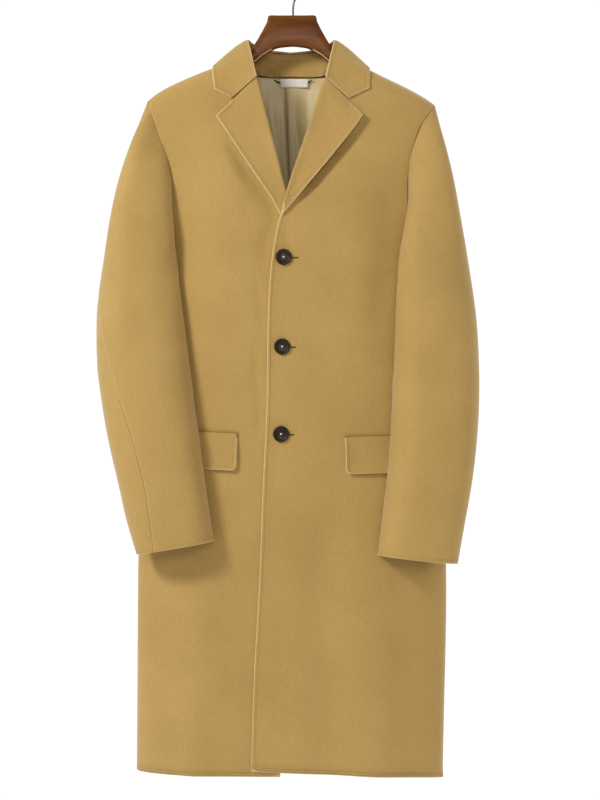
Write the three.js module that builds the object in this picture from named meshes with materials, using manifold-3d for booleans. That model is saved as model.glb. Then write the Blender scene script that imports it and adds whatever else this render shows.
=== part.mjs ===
import * as THREE from 'three';
import { mergeVertices } from 'three/addons/utils/BufferGeometryUtils.js';
import Module from 'manifold-3d';

// Sizes are millimetres. X runs to the picture's right, Y to the back and Z up.
// The origin is inside the top of the hook. Left and right in the names are the wearer's.

// Cloth, and the gap that separate pieces keep
const clothThick = 2.5;
const liningThick = 1;
const tapeThick = 0.8;
const gap = 0.3;
const seamHalf = 0.18;
const probeTurn = 0.01;
const probeDrop = 1;
const probeShare = 0.002;
const layLift = gap + clothThick;

// The body's section at each height: how far its side seams and its front and back lie from the middle
const bodyRows = [
  { z: -60, left: -252, right: 244, front: 36, back: 36 },
  { z: -250, left: -240, right: 231, front: 44, back: 40 },
  { z: -340, left: -217, right: 207, front: 55, back: 47 },
  { z: -440, left: -204, right: 194, front: 63, back: 54 },
  { z: -560, left: -209, right: 200, front: 68, back: 58 },
  { z: -700, left: -223, right: 216, front: 70, back: 59 },
  { z: -840, left: -236, right: 232, front: 71, back: 60 },
  { z: -950, left: -237, right: 234, front: 71, back: 61 },
  { z: -1250, left: -239, right: 228, front: 72, back: 63 },
];
const sectionPower = 2.6;
const bodyMiddleY = 4;

// The line that the shoulder seams follow over the hanger, and how roundly the cloth turns over it
const shoulderGuessZ = -160;
const shoulderRows = [
  { x: -240, z: -222 },
  { x: -221, z: -199 },
  { x: -199, z: -183 },
  { x: -158, z: -163.5 },
  { x: -120, z: -149 },
  { x: -80, z: -139 },
  { x: -3, z: -134 },
  { x: 74, z: -140 },
  { x: 110, z: -150 },
  { x: 140, z: -163.5 },
  { x: 180, z: -183 },
  { x: 211, z: -202 },
  { x: 240, z: -228 },
];
const capRadius = 30;
const capArc = (capRadius * Math.PI) / 2;

// Each front, from its shoulder seam to its hem: its armhole or side seam on one side, and its neck, roll line
// or front edge on the other
const rightFrontRows = [
  { sideX: -221, sideZ: -199, edgeX: -80, edgeZ: -139 },
  { sideX: -220, sideZ: -205, edgeX: -76, edgeZ: -143 },
  { sideX: -217, sideZ: -218, edgeX: -68, edgeZ: -154 },
  { sideX: -208, sideZ: -242, edgeX: -58, edgeZ: -171 },
  { sideX: -196, sideZ: -283, edgeX: -47, edgeZ: -214 },
  { sideX: -187, sideZ: -330, edgeX: -35, edgeZ: -261 },
  { sideX: -188, sideZ: -372, edgeX: -23.5, edgeZ: -306 },
  { sideX: -199, sideZ: -412, edgeX: -12, edgeZ: -350 },
  { sideZ: -440, edgeX: 4, edgeZ: -384 },
  { sideZ: -490, edgeX: 8, edgeZ: -440 },
  { sideZ: -575, edgeX: 8, edgeZ: -545 },
  { sideZ: -680, edgeX: 6, edgeZ: -665 },
  { sideZ: -800, edgeX: 1, edgeZ: -795 },
  { sideZ: -940, edgeX: -7, edgeZ: -938 },
  { sideZ: -1080, edgeX: -14, edgeZ: -1080 },
  { sideZ: -1219, edgeX: -19, edgeZ: -1222 },
];
const leftFrontRows = [
  { sideX: 216, sideZ: -207, edgeX: 74, edgeZ: -140 },
  { sideX: 214, sideZ: -212, edgeX: 70, edgeZ: -144 },
  { sideX: 207, sideZ: -222, edgeX: 62, edgeZ: -155 },
  { sideX: 194, sideZ: -241, edgeX: 52.5, edgeZ: -171 },
  { sideX: 181, sideZ: -278, edgeX: 37.5, edgeZ: -215 },
  { sideX: 174, sideZ: -326, edgeX: 22, edgeZ: -261 },
  { sideX: 177, sideZ: -370, edgeX: 5.5, edgeZ: -309 },
  { sideX: 189, sideZ: -411, edgeX: -10.5, edgeZ: -356 },
  { sideZ: -440, edgeX: -22, edgeZ: -390 },
  { sideZ: -490, edgeX: -32.5, edgeZ: -450 },
  { sideZ: -575, edgeX: -38, edgeZ: -545 },
  { sideZ: -680, edgeX: -39.5, edgeZ: -665 },
  { sideZ: -800, edgeX: -45.5, edgeZ: -795 },
  { sideZ: -940, edgeX: -50.5, edgeZ: -930 },
  { sideZ: -1080, edgeX: -58.5, edgeZ: -1075 },
  { sideZ: -1233, edgeX: -62.5, edgeZ: -1213 },
];
// The back, from its shoulder seams to its hem, with its armhole or side seam on each side
const backRows = [
  { rightX: -221, rightZ: -199, leftX: 216, leftZ: -207 },
  { rightX: -219.5, rightZ: -206, leftX: 214.5, leftZ: -213 },
  { rightX: -217, rightZ: -220, leftX: 210, leftZ: -226 },
  { rightX: -212, rightZ: -243, leftX: 204, leftZ: -248 },
  { rightX: -205, rightZ: -283, leftX: 197, leftZ: -283 },
  { rightX: -200, rightZ: -330, leftX: 191, leftZ: -328 },
  { rightX: -199, rightZ: -372, leftX: 189, leftZ: -370 },
  { rightX: -202, rightZ: -412, leftX: 192, leftZ: -411 },
  { rightZ: -440, leftZ: -440 },
  { rightZ: -490, leftZ: -490 },
  { rightZ: -575, leftZ: -575 },
  { rightZ: -680, leftZ: -680 },
  { rightZ: -800, leftZ: -800 },
  { rightZ: -940, leftZ: -940 },
  { rightZ: -1080, leftZ: -1080 },
  { rightZ: -1219, leftZ: -1233 },
];
const armholeRowCount = 9;
const levelFrom = 0.2;
const levelTo = 0.65;
const backNeckDrop = 43;
const backNeckPower = 3;
const backNeckHalf = 77;
const backNeckFade = 130;

// The largest folds of the body: where each one lies, how wide and high it is, and the heights between which
// it runs
const foldRows = [
  { x: -150, side: 'front', wide: 30, high: 5, top: -880, bottom: -1080 },
  { x: 130, side: 'front', wide: 34, high: 6, top: -800, bottom: -1060 },
  { x: 50, side: 'front', wide: 26, high: -3.5, top: -900, bottom: -1120 },
  { x: -150, side: 'back', wide: 34, high: 7, top: -560, bottom: -1000 },
  { x: -40, side: 'back', wide: 30, high: -5, top: -520, bottom: -960 },
  { x: 70, side: 'back', wide: 34, high: 6, top: -600, bottom: -1040 },
  { x: 160, side: 'back', wide: 28, high: -4, top: -700, bottom: -1100 },
];

// The under front lies this much deeper where the other front laps over it
const underDepth = clothThick + gap + 0.3;
const underFrom = -120;
const underTo = -50;
const underTop = -200;
const underBottom = -330;

// Each sleeve below its armhole: its inner and outer outline, its front and back, and where the elbow seam is
const rightSleeveRows = [
  { outZ: -478, inZ: -470, outer: -293, inner: -165, front: -84, back: 53, elbow: -5 },
  { outZ: -535, inZ: -530, outer: -297, inner: -160, front: -97, back: 40, elbow: 28 },
  { outZ: -600, inZ: -595, outer: -295.5, inner: -153, front: -106, back: 25, elbow: 45 },
  { outZ: -660, inZ: -655, outer: -287.5, inner: -148, front: -112, back: 11, elbow: 58 },
  { outZ: -720, inZ: -714, outer: -276.5, inner: -139.5, front: -116, back: -1, elbow: 66 },
  { outZ: -780, inZ: -770, outer: -262, inner: -132.5, front: -118, back: -12, elbow: 69 },
  { outZ: -836, inZ: -822, outer: -249, inner: -125, front: -118, back: -24, elbow: 67 },
  { outZ: -887, inZ: -867, outer: -233.5, inner: -118, front: -116, back: -34, elbow: 60 },
];
const leftSleeveRows = [
  { outZ: -478, inZ: -470, outer: 271, inner: 153.5, front: -84, back: 51, elbow: -45 },
  { outZ: -535, inZ: -530, outer: 277.5, inner: 151, front: -97, back: 38, elbow: -38 },
  { outZ: -600, inZ: -595, outer: 280, inner: 149, front: -106, back: 22, elbow: -28 },
  { outZ: -660, inZ: -655, outer: 279.5, inner: 148, front: -112, back: 8, elbow: -24 },
  { outZ: -720, inZ: -714, outer: 275.5, inner: 145, front: -116, back: -4, elbow: -20 },
  { outZ: -780, inZ: -773, outer: 268, inner: 140, front: -118, back: -14, elbow: -16 },
  { outZ: -840, inZ: -830, outer: 257, inner: 134, front: -118, back: -26, elbow: -14 },
  { outZ: -901, inZ: -888, outer: 246, inner: 126.5, front: -116, back: -36, elbow: -14 },
];
const sleevePower = 2.2;
const armholeStep = 22.5;
const inseamAngle = 9 * armholeStep;
const capElbow = -2 * armholeStep;
const capShare = 0.36;
const capRows = 6;
const armRows = 13;
const capBulges = { right: 8, left: 3.5 };
const capSpread = 1;
const capDelay = 0.6;
const sleeveClear = 6;
const capSeamClear = 0.1;
const capSeamLift = 0.3 * gap;
const underarmFrom = 3;
const underarmLift = 2.8 * gap;
const bulgeSkew = 0.9;
const clearedBy = 0.4;

// The half lining of the back: the back's columns and rows that it follows, and its centre pleat
const backColumns = 18;
const liningFirst = 3;
const liningLast = 15;
const liningRows = 12;
const liningPleatHigh = 2;
const liningPleatWide = 0.03;

// The collar, as seen around the neck from its front end to the middle of the back, out from the neck's middle
const neckMiddleX = -3;
const collarRows = [
  { foldOut: 55, foldY: -42, foldZ: -168, edgeOut: 116.5, edgeDrop: 48, side: -1 },
  { foldOut: 61.5, foldY: -26, foldZ: -140, edgeOut: 118, edgeDrop: 26, side: -1 },
  { foldOut: 67.5, foldY: -1, foldZ: -112, edgeOut: 117, edgeDrop: 3, side: -1 },
  { foldOut: 59, foldY: 22, foldZ: -114, edgeOut: 104, edgeDrop: -30, side: 1 },
  { foldOut: 34, foldY: 38, foldZ: -121, edgeOut: 60, edgeDrop: -52, side: 1 },
  { foldOut: 0, foldY: 43, foldZ: -124, edgeOut: 0, edgeDrop: -60, side: 1 },
];
const collarColumns = 28;
const standLift = 1.9;
const standLiftPower = 0.25;
const collarSeat = 1.4;
const neckRows = 3;
const collarLift = 3.4;
const collarRoll = 14;
const collarBelly = 5;
const collarBellyAt = 0.45;
const collarFrontShare = 0.35;
const neckFrontShare = 0.4;
const neckProbe = 2;
const notchLift = 0.8;
// Its front end runs along the lapel to the notch and then out to the corner
const gorgeShare = 0.625;
const gorgeFade = 0.16;
const gorges = [
  { way: -1, notchX: -93.5, notchZ: -201, cornerX: -118.5, cornerZ: -187 },
  { way: 1, notchX: 84, notchZ: -201, cornerX: 115.5, cornerZ: -185.5 },
];

// The lapels: the roll line's lower end, the outer edge from the bottom to the tip, and the tip
const lapelRoll = 6.5;
const lapelTurnShare = 0.25;
const lapelBottomSlim = 0.75;
const lapelSlimTo = 0.3;
const rightLapel = {
  rollBottomX: -13.2,
  rollBottomZ: -345,
  rollTopX: -58,
  rollTopZ: -171.5,
  edge: [
    { at: 0, x: -22.5, z: -367 },
    { at: 0.33, x: -54, z: -322 },
    { at: 0.66, x: -88, z: -271 },
    { at: 1, x: -115.7, z: -228 },
  ],
};
const leftLapel = {
  rollBottomX: -13,
  rollBottomZ: -363,
  rollTopX: 52.5,
  rollTopZ: -171.5,
  edge: [
    { at: 0, x: -16.5, z: -378 },
    { at: 0.25, x: 12, z: -345 },
    { at: 0.6, x: 56, z: -292 },
    { at: 0.88, x: 92, z: -246 },
    { at: 1, x: 105, z: -227 },
  ],
};

// The pocket flaps: their upper inner corner, size, and how much the outer end rises
const flapLong = 128;
const flapHigh = 57;
const flapCorner = 6;
const flapLean = 2;
const flapClear = 0.3;
const flapCornerShares = [0, 0.035, 0.07];
const flaps = [
  { name: 'flap_right', x: -83, z: -706, way: -1, rise: 0.05 },
  { name: 'flap_left', x: 77.5, z: -711, way: 1, rise: 0.02 },
];

// The buttons: their places, and the section of one from its back to its rim
const buttonPlaces = [
  { name: 'button_1', x: -14.1, z: -442.5 },
  { name: 'button_2', x: -16.3, z: -577 },
  { name: 'button_3', x: -17.8, z: -708 },
];
const buttonRadius = 12.2;
const buttonSides = 20;
const buttonHoleRadius = 1.1;
const buttonHoleOut = 2.4;
const buttonSeat = 0.35;
const buttonProfile = [
  { out: 0, up: 0 },
  { out: 0.7 * buttonRadius, up: 0 },
  { out: 0.96 * buttonRadius, up: 1.3 },
  { out: buttonRadius, up: 2.4 },
  { out: 0.97 * buttonRadius, up: 3.4 },
  { out: 0.87 * buttonRadius, up: 3.9 },
  { out: 0.77 * buttonRadius, up: 3.5 },
  { out: 0.68 * buttonRadius, up: 2.6 },
  { out: 0.35 * buttonRadius, up: 2.2 },
  { out: 0, up: 2.1 },
];

// The hanger: its outline in sections from the middle out, and its hook
const hangerY = 4;
const hangerMiddleX = -1.5;
const hangerRows = [
  { out: 0, top: -70, bottom: -116, half: 9 },
  { out: 22, top: -70, bottom: -118.5, half: 9 },
  { out: 35.5, top: -70.6, bottom: -125, half: 9 },
  { out: 38.5, top: -80, bottom: -127, half: 9 },
  { out: 45, top: -93, bottom: -131, half: 9 },
  { out: 53, top: -107, bottom: -137.5, half: 9 },
  { out: 59.5, top: -118.5, bottom: -143, half: 9 },
  { out: 62.5, top: -131, bottom: -149, half: 9 },
  { out: 67, top: -144.5, bottom: -157, half: 9 },
];
// Its arms, which carry the shoulders from below
const armSections = [
  { out: 79, high: 17, half: 8.5, low: 1.2 },
  { out: 92, high: 21, half: 9.5, low: 0.3 },
  { out: 115, high: 24, half: 10, low: 0 },
  { out: 145, high: 24, half: 9, low: 0.3 },
  { out: 170, high: 21, half: 7, low: 0.7 },
  { out: 188, high: 17, half: 5.5, low: 1 },
  { out: 200, high: 11, half: 4, low: 1 },
];
const armY = 1;
const hangerUnder = clothThick + gap + 1.1;
const hangerRing = 12;
const headSquare = 0.6;
const armSquare = 1;
const wireRadius = 1.6;
const hookRadius = 18;
const stemBends = [
  { out: 0, up: 0 },
  { out: 0, up: 12 },
  { out: 2.5, up: 24 },
  { out: 12, up: 35 },
];
const hookArc = { from: -25, to: 205, step: 23 };

// The label and the tape behind it
const label = { left: -19.5, right: 23, high: 14 };
const tapeHigh = 2.4;
const tapeDip = 8;
const tapeEnds = { left: -29.5, right: 29.5 };

const group = new THREE.Group();
const wool = new THREE.MeshStandardMaterial({ color: 0xba9c5c, roughness: 0.95, metalness: 0 });
const satin = new THREE.MeshStandardMaterial({ color: 0xa18b5f, roughness: 0.5, metalness: 0 });
const horn = new THREE.MeshStandardMaterial({ color: 0x352820, roughness: 0.35, metalness: 0 });
const white = new THREE.MeshStandardMaterial({ color: 0xf2efe8, roughness: 0.8, metalness: 0 });
const black = new THREE.MeshStandardMaterial({ color: 0x17130f, roughness: 0.8, metalness: 0 });
const wood = new THREE.MeshStandardMaterial({ color: 0x5c3219, roughness: 0.3, metalness: 0 });
const metal = new THREE.MeshStandardMaterial({ color: 0x4a3f36, roughness: 0.35, metalness: 1 });

// Small helpers

function mix(a, b, t) {
  return a + (b - a) * t;
}

function clamp(value, low, high) {
  return Math.min(high, Math.max(low, value));
}

function ease(value, from, to) {
  const t = clamp((value - from) / (to - from), 0, 1);
  return t * t * (3 - 2 * t);
}

// A smooth curve through one column of a table, whose key column rises or falls steadily
function column(rows, key, name, at) {
  const falling = rows[0][key] > rows[rows.length - 1][key];
  let i = rows.findIndex((row) => (falling ? row[key] <= at : row[key] >= at)) - 1;
  if (i < -1) i = rows.length - 2;
  i = clamp(i, 0, rows.length - 2);
  const slope = (a, b) => (rows[b][name] - rows[a][name]) / (rows[b][key] - rows[a][key]);
  const long = rows[i + 1][key] - rows[i][key];
  const start = i > 0 ? slope(i - 1, i + 1) : slope(i, i + 1);
  const end = i < rows.length - 2 ? slope(i, i + 2) : slope(i, i + 1);
  const t = (at - rows[i][key]) / long;
  if (t < 0) return rows[i][name] + start * long * t;
  if (t > 1) return rows[i + 1][name] + end * long * (t - 1);
  const t2 = t * t;
  const t3 = t2 * t;
  return (
    (2 * t3 - 3 * t2 + 1) * rows[i][name] +
    (t3 - 2 * t2 + t) * long * start +
    (3 * t2 - 2 * t3) * rows[i + 1][name] +
    (t3 - t2) * long * end
  );
}

// The same, for a table whose rows are evenly spaced from 0 to 1
function evenColumn(rows, name, at) {
  const numbered = rows.map((row, i) => ({ at: i / (rows.length - 1), value: row[name] }));
  return column(numbered, 'at', 'value', at);
}

function evenly(from, to, count) {
  return Array.from({ length: count + 1 }, (_, i) => mix(from, to, i / count));
}

// A closed geometry from its points' coordinates and its triangles' corners
function solidOf(positions, faces) {
  const geometry = new THREE.BufferGeometry();
  geometry.setAttribute('position', new THREE.Float32BufferAttribute(positions, 3));
  geometry.setIndex(faces);
  geometry.computeVertexNormals();
  return geometry;
}

// The body's surface

// How far a rounded section reaches at an angle: power 2 gives an ellipse, and more a squarer section
function roundedReach(angle, power) {
  return (Math.abs(Math.sin(angle)) ** power + Math.abs(Math.cos(angle)) ** power) ** (-1 / power);
}

function shoulderHeight(x) {
  return column(shoulderRows, 'x', 'z', x);
}

function section(z) {
  const left = column(bodyRows, 'z', 'left', z);
  const right = column(bodyRows, 'z', 'right', z);
  return {
    middle: (left + right) / 2,
    half: (right - left) / 2,
    front: column(bodyRows, 'z', 'front', z),
    back: column(bodyRows, 'z', 'back', z),
  };
}

function foldHeight(x, z, facing) {
  let high = 0;
  for (const fold of foldRows) {
    if ((fold.side === 'front') !== facing > 0) continue;
    const across = (x - fold.x) / fold.wide;
    const rise = ease(z, fold.top, fold.bottom);
    high += fold.high * Math.exp(-across * across) * rise;
  }
  return high;
}

// turn is 0 at the middle of the front, 1 and -1 at the side seams and 2 at the middle of the back.
// drop is the way down the cloth from the shoulder line.
function bodyPoint(turn, drop, under = false) {
  const angle = (turn * Math.PI) / 2;
  const reach = roundedReach(angle, sectionPower);
  const lateral = reach * Math.sin(angle);
  const facing = reach * Math.cos(angle);
  const capTurn = clamp(drop / capRadius, -Math.PI / 2, Math.PI / 2);
  const way = Math.abs(drop);
  const fall = way < capArc ? capRadius * (1 - Math.cos(capTurn)) : capRadius + way - capArc;
  let z = shoulderGuessZ - fall;
  let x = 0;
  for (let i = 0; i < 6; i++) {
    const here = section(z);
    x = here.middle + here.half * lateral;
    z = shoulderHeight(x) - fall;
  }
  const here = section(z);
  const depth = facing > 0 ? here.front : here.back;
  let y = bodyMiddleY - depth * facing * Math.sin(capTurn);
  y -= Math.sign(facing) * foldHeight(x, z, facing) * clamp(Math.abs(facing) * 2, 0, 1);
  if (under) y += underDepth * ease(x, underFrom, underTo) * ease(z, underTop, underBottom);
  return new THREE.Vector3(x, y, z);
}

function dropAt(x, z) {
  const fall = shoulderHeight(x) - z;
  if (fall <= 0) return fall;
  return fall < capRadius ? capRadius * Math.acos(1 - fall / capRadius) : capArc + fall - capRadius;
}

// The turn of the body's surface at a place seen from the front, on its front or its back
function turnAt(x, z, onBack = false) {
  const here = section(z);
  const lateral = clamp((x - here.middle) / here.half, -1, 1);
  const facing = (1 - Math.abs(lateral) ** sectionPower) ** (1 / sectionPower);
  const turn = (Math.atan2(lateral, facing) * 2) / Math.PI;
  if (!onBack) return turn;
  return turn >= 0 ? 2 - turn : 2 + Math.abs(turn);
}

function onFront(x, z, lift, under = false) {
  const turn = turnAt(x, z);
  const drop = dropAt(x, z);
  const point = bodyPoint(turn, drop, under);
  const across = bodyPoint(turn + probeTurn, drop, under).sub(bodyPoint(turn - probeTurn, drop, under));
  const down = bodyPoint(turn, drop + probeDrop, under).sub(bodyPoint(turn, drop - probeDrop, under));
  const normal = down.cross(across).normalize();
  return point.addScaledVector(normal, lift);
}

// Walls: a closed solid between a surface and the same surface moved inwards

function tangent(place, s, t, alongS) {
  const ahead = alongS ? place(s + probeShare, t) : place(s, t + probeShare);
  const behind = alongS ? place(s - probeShare, t) : place(s, t - probeShare);
  return ahead.sub(behind);
}

// place(s, t) is the outer surface; outward is 1 where its s and t directions turn outwards like a right hand
// firstNormal gives the direction of the first row's thickness, where the wall meets another one
function wall(place, across, along, thick, outward, trim = {}, firstNormal = null) {
  const outer = [];
  const inner = [];
  for (let j = 0; j < along.length; j++) {
    for (let i = 0; i < across.length; i++) {
      const s = across[i];
      const t = along[j];
      const overS = tangent(place, s, t, true);
      const overT = tangent(place, s, t, false);
      const normal = overS.clone().cross(overT).normalize().multiplyScalar(outward);
      const point = place(s, t);
      overS.normalize();
      overT.normalize();
      if (i === 0) point.addScaledVector(overS, trim.start ?? 0);
      if (i === across.length - 1) point.addScaledVector(overS, -(trim.end ?? 0));
      if (j === 0) point.addScaledVector(overT, trim.first ?? 0);
      if (j === along.length - 1) point.addScaledVector(overT, -(trim.last ?? 0));
      outer.push(point);
      const through = j === 0 && firstNormal ? firstNormal(s, normal) : normal;
      inner.push(point.clone().addScaledVector(through, -thick));
    }
  }
  const wide = across.length;
  const high = along.length;
  const faces = [];
  const quad = (a, b, c, d) => {
    if (outward > 0) faces.push(a, b, c, a, c, d);
    else faces.push(a, c, b, a, d, c);
  };
  const index = (i, j) => j * wide + i;
  const under = outer.length;
  for (let j = 0; j < high - 1; j++) {
    for (let i = 0; i < wide - 1; i++) {
      const a = index(i, j);
      const b = index(i + 1, j);
      const c = index(i + 1, j + 1);
      const d = index(i, j + 1);
      const straight = outer[a].distanceTo(outer[c]) <= outer[b].distanceTo(outer[d]);
      const [first, second, third, fourth] = straight ? [a, b, c, d] : [b, c, d, a];
      quad(first, second, third, fourth);
      quad(under + first, under + fourth, under + third, under + second);
    }
  }
  const rim = (a, b, ahead) => {
    const c = under + a;
    const d = under + b;
    if (ahead === outward > 0) faces.push(a, c, d, a, d, b);
    else faces.push(a, d, c, a, b, d);
  };
  for (let i = 0; i < wide - 1; i++) {
    rim(index(i, 0), index(i + 1, 0), true);
    rim(index(i, high - 1), index(i + 1, high - 1), false);
  }
  for (let j = 0; j < high - 1; j++) {
    rim(index(wide - 1, j), index(wide - 1, j + 1), true);
    rim(index(0, j), index(0, j + 1), false);
  }
  return solidOf([...outer, ...inner].flatMap((point) => point.toArray()), faces);
}

function add(name, geometry, material) {
  const mesh = new THREE.Mesh(geometry, material);
  mesh.name = name;
  group.add(mesh);
  return mesh;
}

// The fronts, the back and its lining

// Rows follow the shoulders at the top of a piece and the given height lower down
function levelled(turn, drop, level, t) {
  const share = ease(t, levelFrom, levelTo);
  return share > 0 ? mix(drop, dropAt(bodyPoint(turn, drop).x, level), share) : drop;
}

function frontPlace(rows, way, under) {
  const places = rows.map((row) => ({
    sideTurn: row.sideX === undefined ? way : turnAt(row.sideX, row.sideZ),
    sideDrop: dropAt(row.sideX ?? section(row.sideZ).middle + way * section(row.sideZ).half, row.sideZ),
    edgeTurn: turnAt(row.edgeX, row.edgeZ),
    edgeDrop: dropAt(row.edgeX, row.edgeZ),
  }));
  places[0].sideDrop = 0;
  places[0].edgeDrop = 0;
  return (s, t) => {
    const sideTurn = clamp(evenColumn(places, 'sideTurn', t), -1, 1);
    const turn = mix(evenColumn(places, 'edgeTurn', t), sideTurn, s);
    const drop = mix(evenColumn(places, 'edgeDrop', t), evenColumn(places, 'sideDrop', t), s);
    const level = mix(evenColumn(rows, 'edgeZ', t), evenColumn(rows, 'sideZ', t), s);
    return bodyPoint(turn, levelled(turn, drop, level, t), under);
  };
}

// How far the back's neck edge lies below the shoulder line
function neckDrop(x) {
  const out = Math.abs(x - neckMiddleX) / backNeckHalf;
  return backNeckDrop * Math.max(0, 1 - out ** backNeckPower) ** (1 / backNeckPower);
}

function makeBackPlace() {
  const places = backRows.map((row) => {
    const low = section(row.rightZ);
    const lowLeft = section(row.leftZ);
    return {
      rightTurn: row.rightX === undefined ? 3 : turnAt(row.rightX, row.rightZ, true),
      rightDrop: dropAt(row.rightX ?? low.middle - low.half, row.rightZ),
      leftTurn: row.leftX === undefined ? 1 : turnAt(row.leftX, row.leftZ, true),
      leftDrop: dropAt(row.leftX ?? lowLeft.middle + lowLeft.half, row.leftZ),
    };
  });
  places[0].rightDrop = 0;
  places[0].leftDrop = 0;
  return (s, t) => {
    const leftTurn = Math.max(1, evenColumn(places, 'leftTurn', t));
    const rightTurn = Math.min(3, evenColumn(places, 'rightTurn', t));
    const turn = mix(leftTurn, rightTurn, s);
    const level = mix(evenColumn(backRows, 'leftZ', t), evenColumn(backRows, 'rightZ', t), s);
    const slant = mix(evenColumn(places, 'leftDrop', t), evenColumn(places, 'rightDrop', t), s);
    const side = levelled(turn, slant, level, t);
    const neck = neckDrop(bodyPoint(turn, 0).x);
    return bodyPoint(turn, side + neck * Math.max(0, 1 - side / backNeckFade));
  };
}

// A surface moved inwards, for what lies behind it
function behind(place, depth, outward) {
  return (s, t) => {
    const normal = tangent(place, s, t, true).cross(tangent(place, s, t, false)).normalize();
    return place(s, t).addScaledVector(normal, -outward * depth);
  };
}

const frontAcross = evenly(0, 1, 11);
const bodyAlong = evenly(0, 1, leftFrontRows.length - 1);
const rightFront = frontPlace(rightFrontRows, -1, true);
const leftFront = frontPlace(leftFrontRows, 1, false);
const backSurface = makeBackPlace();

function addBody() {
  const frontTrim = { start: 0, end: seamHalf, first: seamHalf, last: 0 };
  add('front_left', wall(leftFront, frontAcross, bodyAlong, clothThick, -1, frontTrim), wool);
  add('front_right', wall(rightFront, frontAcross, bodyAlong, clothThick, 1, frontTrim), wool);
  const backTrim = { start: seamHalf, end: seamHalf, first: seamHalf, last: 0 };
  add('back', wall(backSurface, evenly(0, 1, backColumns), bodyAlong, clothThick, -1, backTrim), wool);
}

function addLining() {
  const pleat = (s) => liningPleatHigh * Math.exp(-(((s - 0.5) / liningPleatWide) ** 2));
  const place = (s, t) => behind(backSurface, clothThick + gap + pleat(s), -1)(s, t);
  const numbers = evenly(liningFirst, liningLast, liningLast - liningFirst);
  const across = numbers.map((number) => number / backColumns);
  const along = bodyAlong.slice(0, liningRows);
  add('lining_back', wall(place, across, along, liningThick, -1, { first: seamHalf }), satin);
}

// The sleeves

// One sleeve's ring at a distance down it: 0 at the first full ring and 1 at the cuff.
// angle is 0 on the outside, 90 at the front, 180 at the body and 270 at the back.
function sleeveRing(rows, way, angle, at) {
  const value = (name) => evenColumn(rows, name, at);
  const turn = (angle * Math.PI) / 180;
  const reach = roundedReach(turn, sleevePower);
  const share = (1 - reach * Math.cos(turn)) / 2;
  const x = mix(value('outer'), value('inner'), share);
  const z = mix(value('outZ'), value('inZ'), share);
  const y = mix(value('back'), value('front'), (1 + reach * Math.sin(turn)) / 2);
  return new THREE.Vector3(x, y, z);
}

// Moves a point out of the body and a given way clear of it
function clearOfBody(point, clear) {
  const here = section(point.z);
  const across = (point.x - here.middle) / (here.half + clear);
  const away = point.y - bodyMiddleY;
  const along = away / ((away < 0 ? here.front : here.back) + clear);
  const size = (Math.abs(across) ** sectionPower + Math.abs(along) ** sectionPower) ** (1 / sectionPower);
  if (size >= 1) return point;
  const grow = 1 / Math.max(size, 0.2);
  return new THREE.Vector3(here.middle + (point.x - here.middle) * grow, bodyMiddleY + away * grow, point.z);
}

// The armhole's edge at one of the body's rows, moved a little off the body's pieces
function armholeCorner(front, back, way, number) {
  const goesBack = number > armholeRowCount - 1;
  const row = goesBack ? 2 * (armholeRowCount - 1) - number : number;
  const t = row / (leftFrontRows.length - 1);
  const place = goesBack ? back : front;
  const edge = goesBack && way > 0 ? 0 : 1;
  const point = place(edge, t);
  const over = tangent(place, edge, t, true).normalize().multiplyScalar(edge === 1 ? 1 : -1);
  const normal = tangent(place, edge, t, true).cross(tangent(place, edge, t, false)).normalize();
  const middle = new THREE.Vector3(0, bodyMiddleY, point.z);
  if (normal.dot(point.clone().sub(middle)) < 0) normal.negate();
  const low = ease(row, underarmFrom, armholeRowCount - 1);
  point.addScaledVector(over, gap * (1 - low) + capSeamClear);
  point.addScaledVector(normal, capSeamLift + underarmLift * low);
  return { point, normal, low };
}

// The same edge by the angle of the sleeve's rings, straight between the body's rows as its pieces are
function armhole(front, back, way, angle) {
  const number = Math.min(Math.floor(angle / armholeStep), 2 * armholeRowCount - 3);
  const start = armholeCorner(front, back, way, number);
  const end = armholeCorner(front, back, way, number + 1);
  const share = angle / armholeStep - number;
  return {
    point: start.point.lerp(end.point, share),
    normal: start.normal.lerp(end.normal, share).normalize(),
    low: mix(start.low, end.low, share),
  };
}

function sleevePlace(rows, front, back, way, capBulge) {
  return (angle, t) => {
    const wrapped = ((angle % 360) + 360) % 360;
    if (t >= capShare) {
      const at = (t - capShare) / (1 - capShare);
      return clearOfBody(sleeveRing(rows, way, wrapped, at), sleeveClear);
    }
    const part = Math.max(t / capShare, 0);
    const start = armhole(front, back, way, wrapped).point;
    const end = clearOfBody(sleeveRing(rows, way, wrapped, 0), sleeveClear);
    const turn = (wrapped * Math.PI) / 180;
    const sideways = Math.sin(turn) ** 2;
    const outPart = 1 - (1 - part) ** (1 + capSpread * sideways);
    const downPart = part ** (1 + capDelay * sideways);
    const bulge = capBulge * Math.sin(Math.PI * part ** bulgeSkew) * Math.max(0, Math.cos(turn));
    const point = new THREE.Vector3(
      mix(start.x, end.x, outPart) + way * bulge,
      mix(start.y, end.y, outPart),
      mix(start.z, end.z, downPart),
    );
    const cleared = clearOfBody(point, sleeveClear * ease(part, 0, clearedBy));
    return point.lerp(cleared, 1 - ease(Math.cos(turn), 0, 0.5));
  };
}

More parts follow.
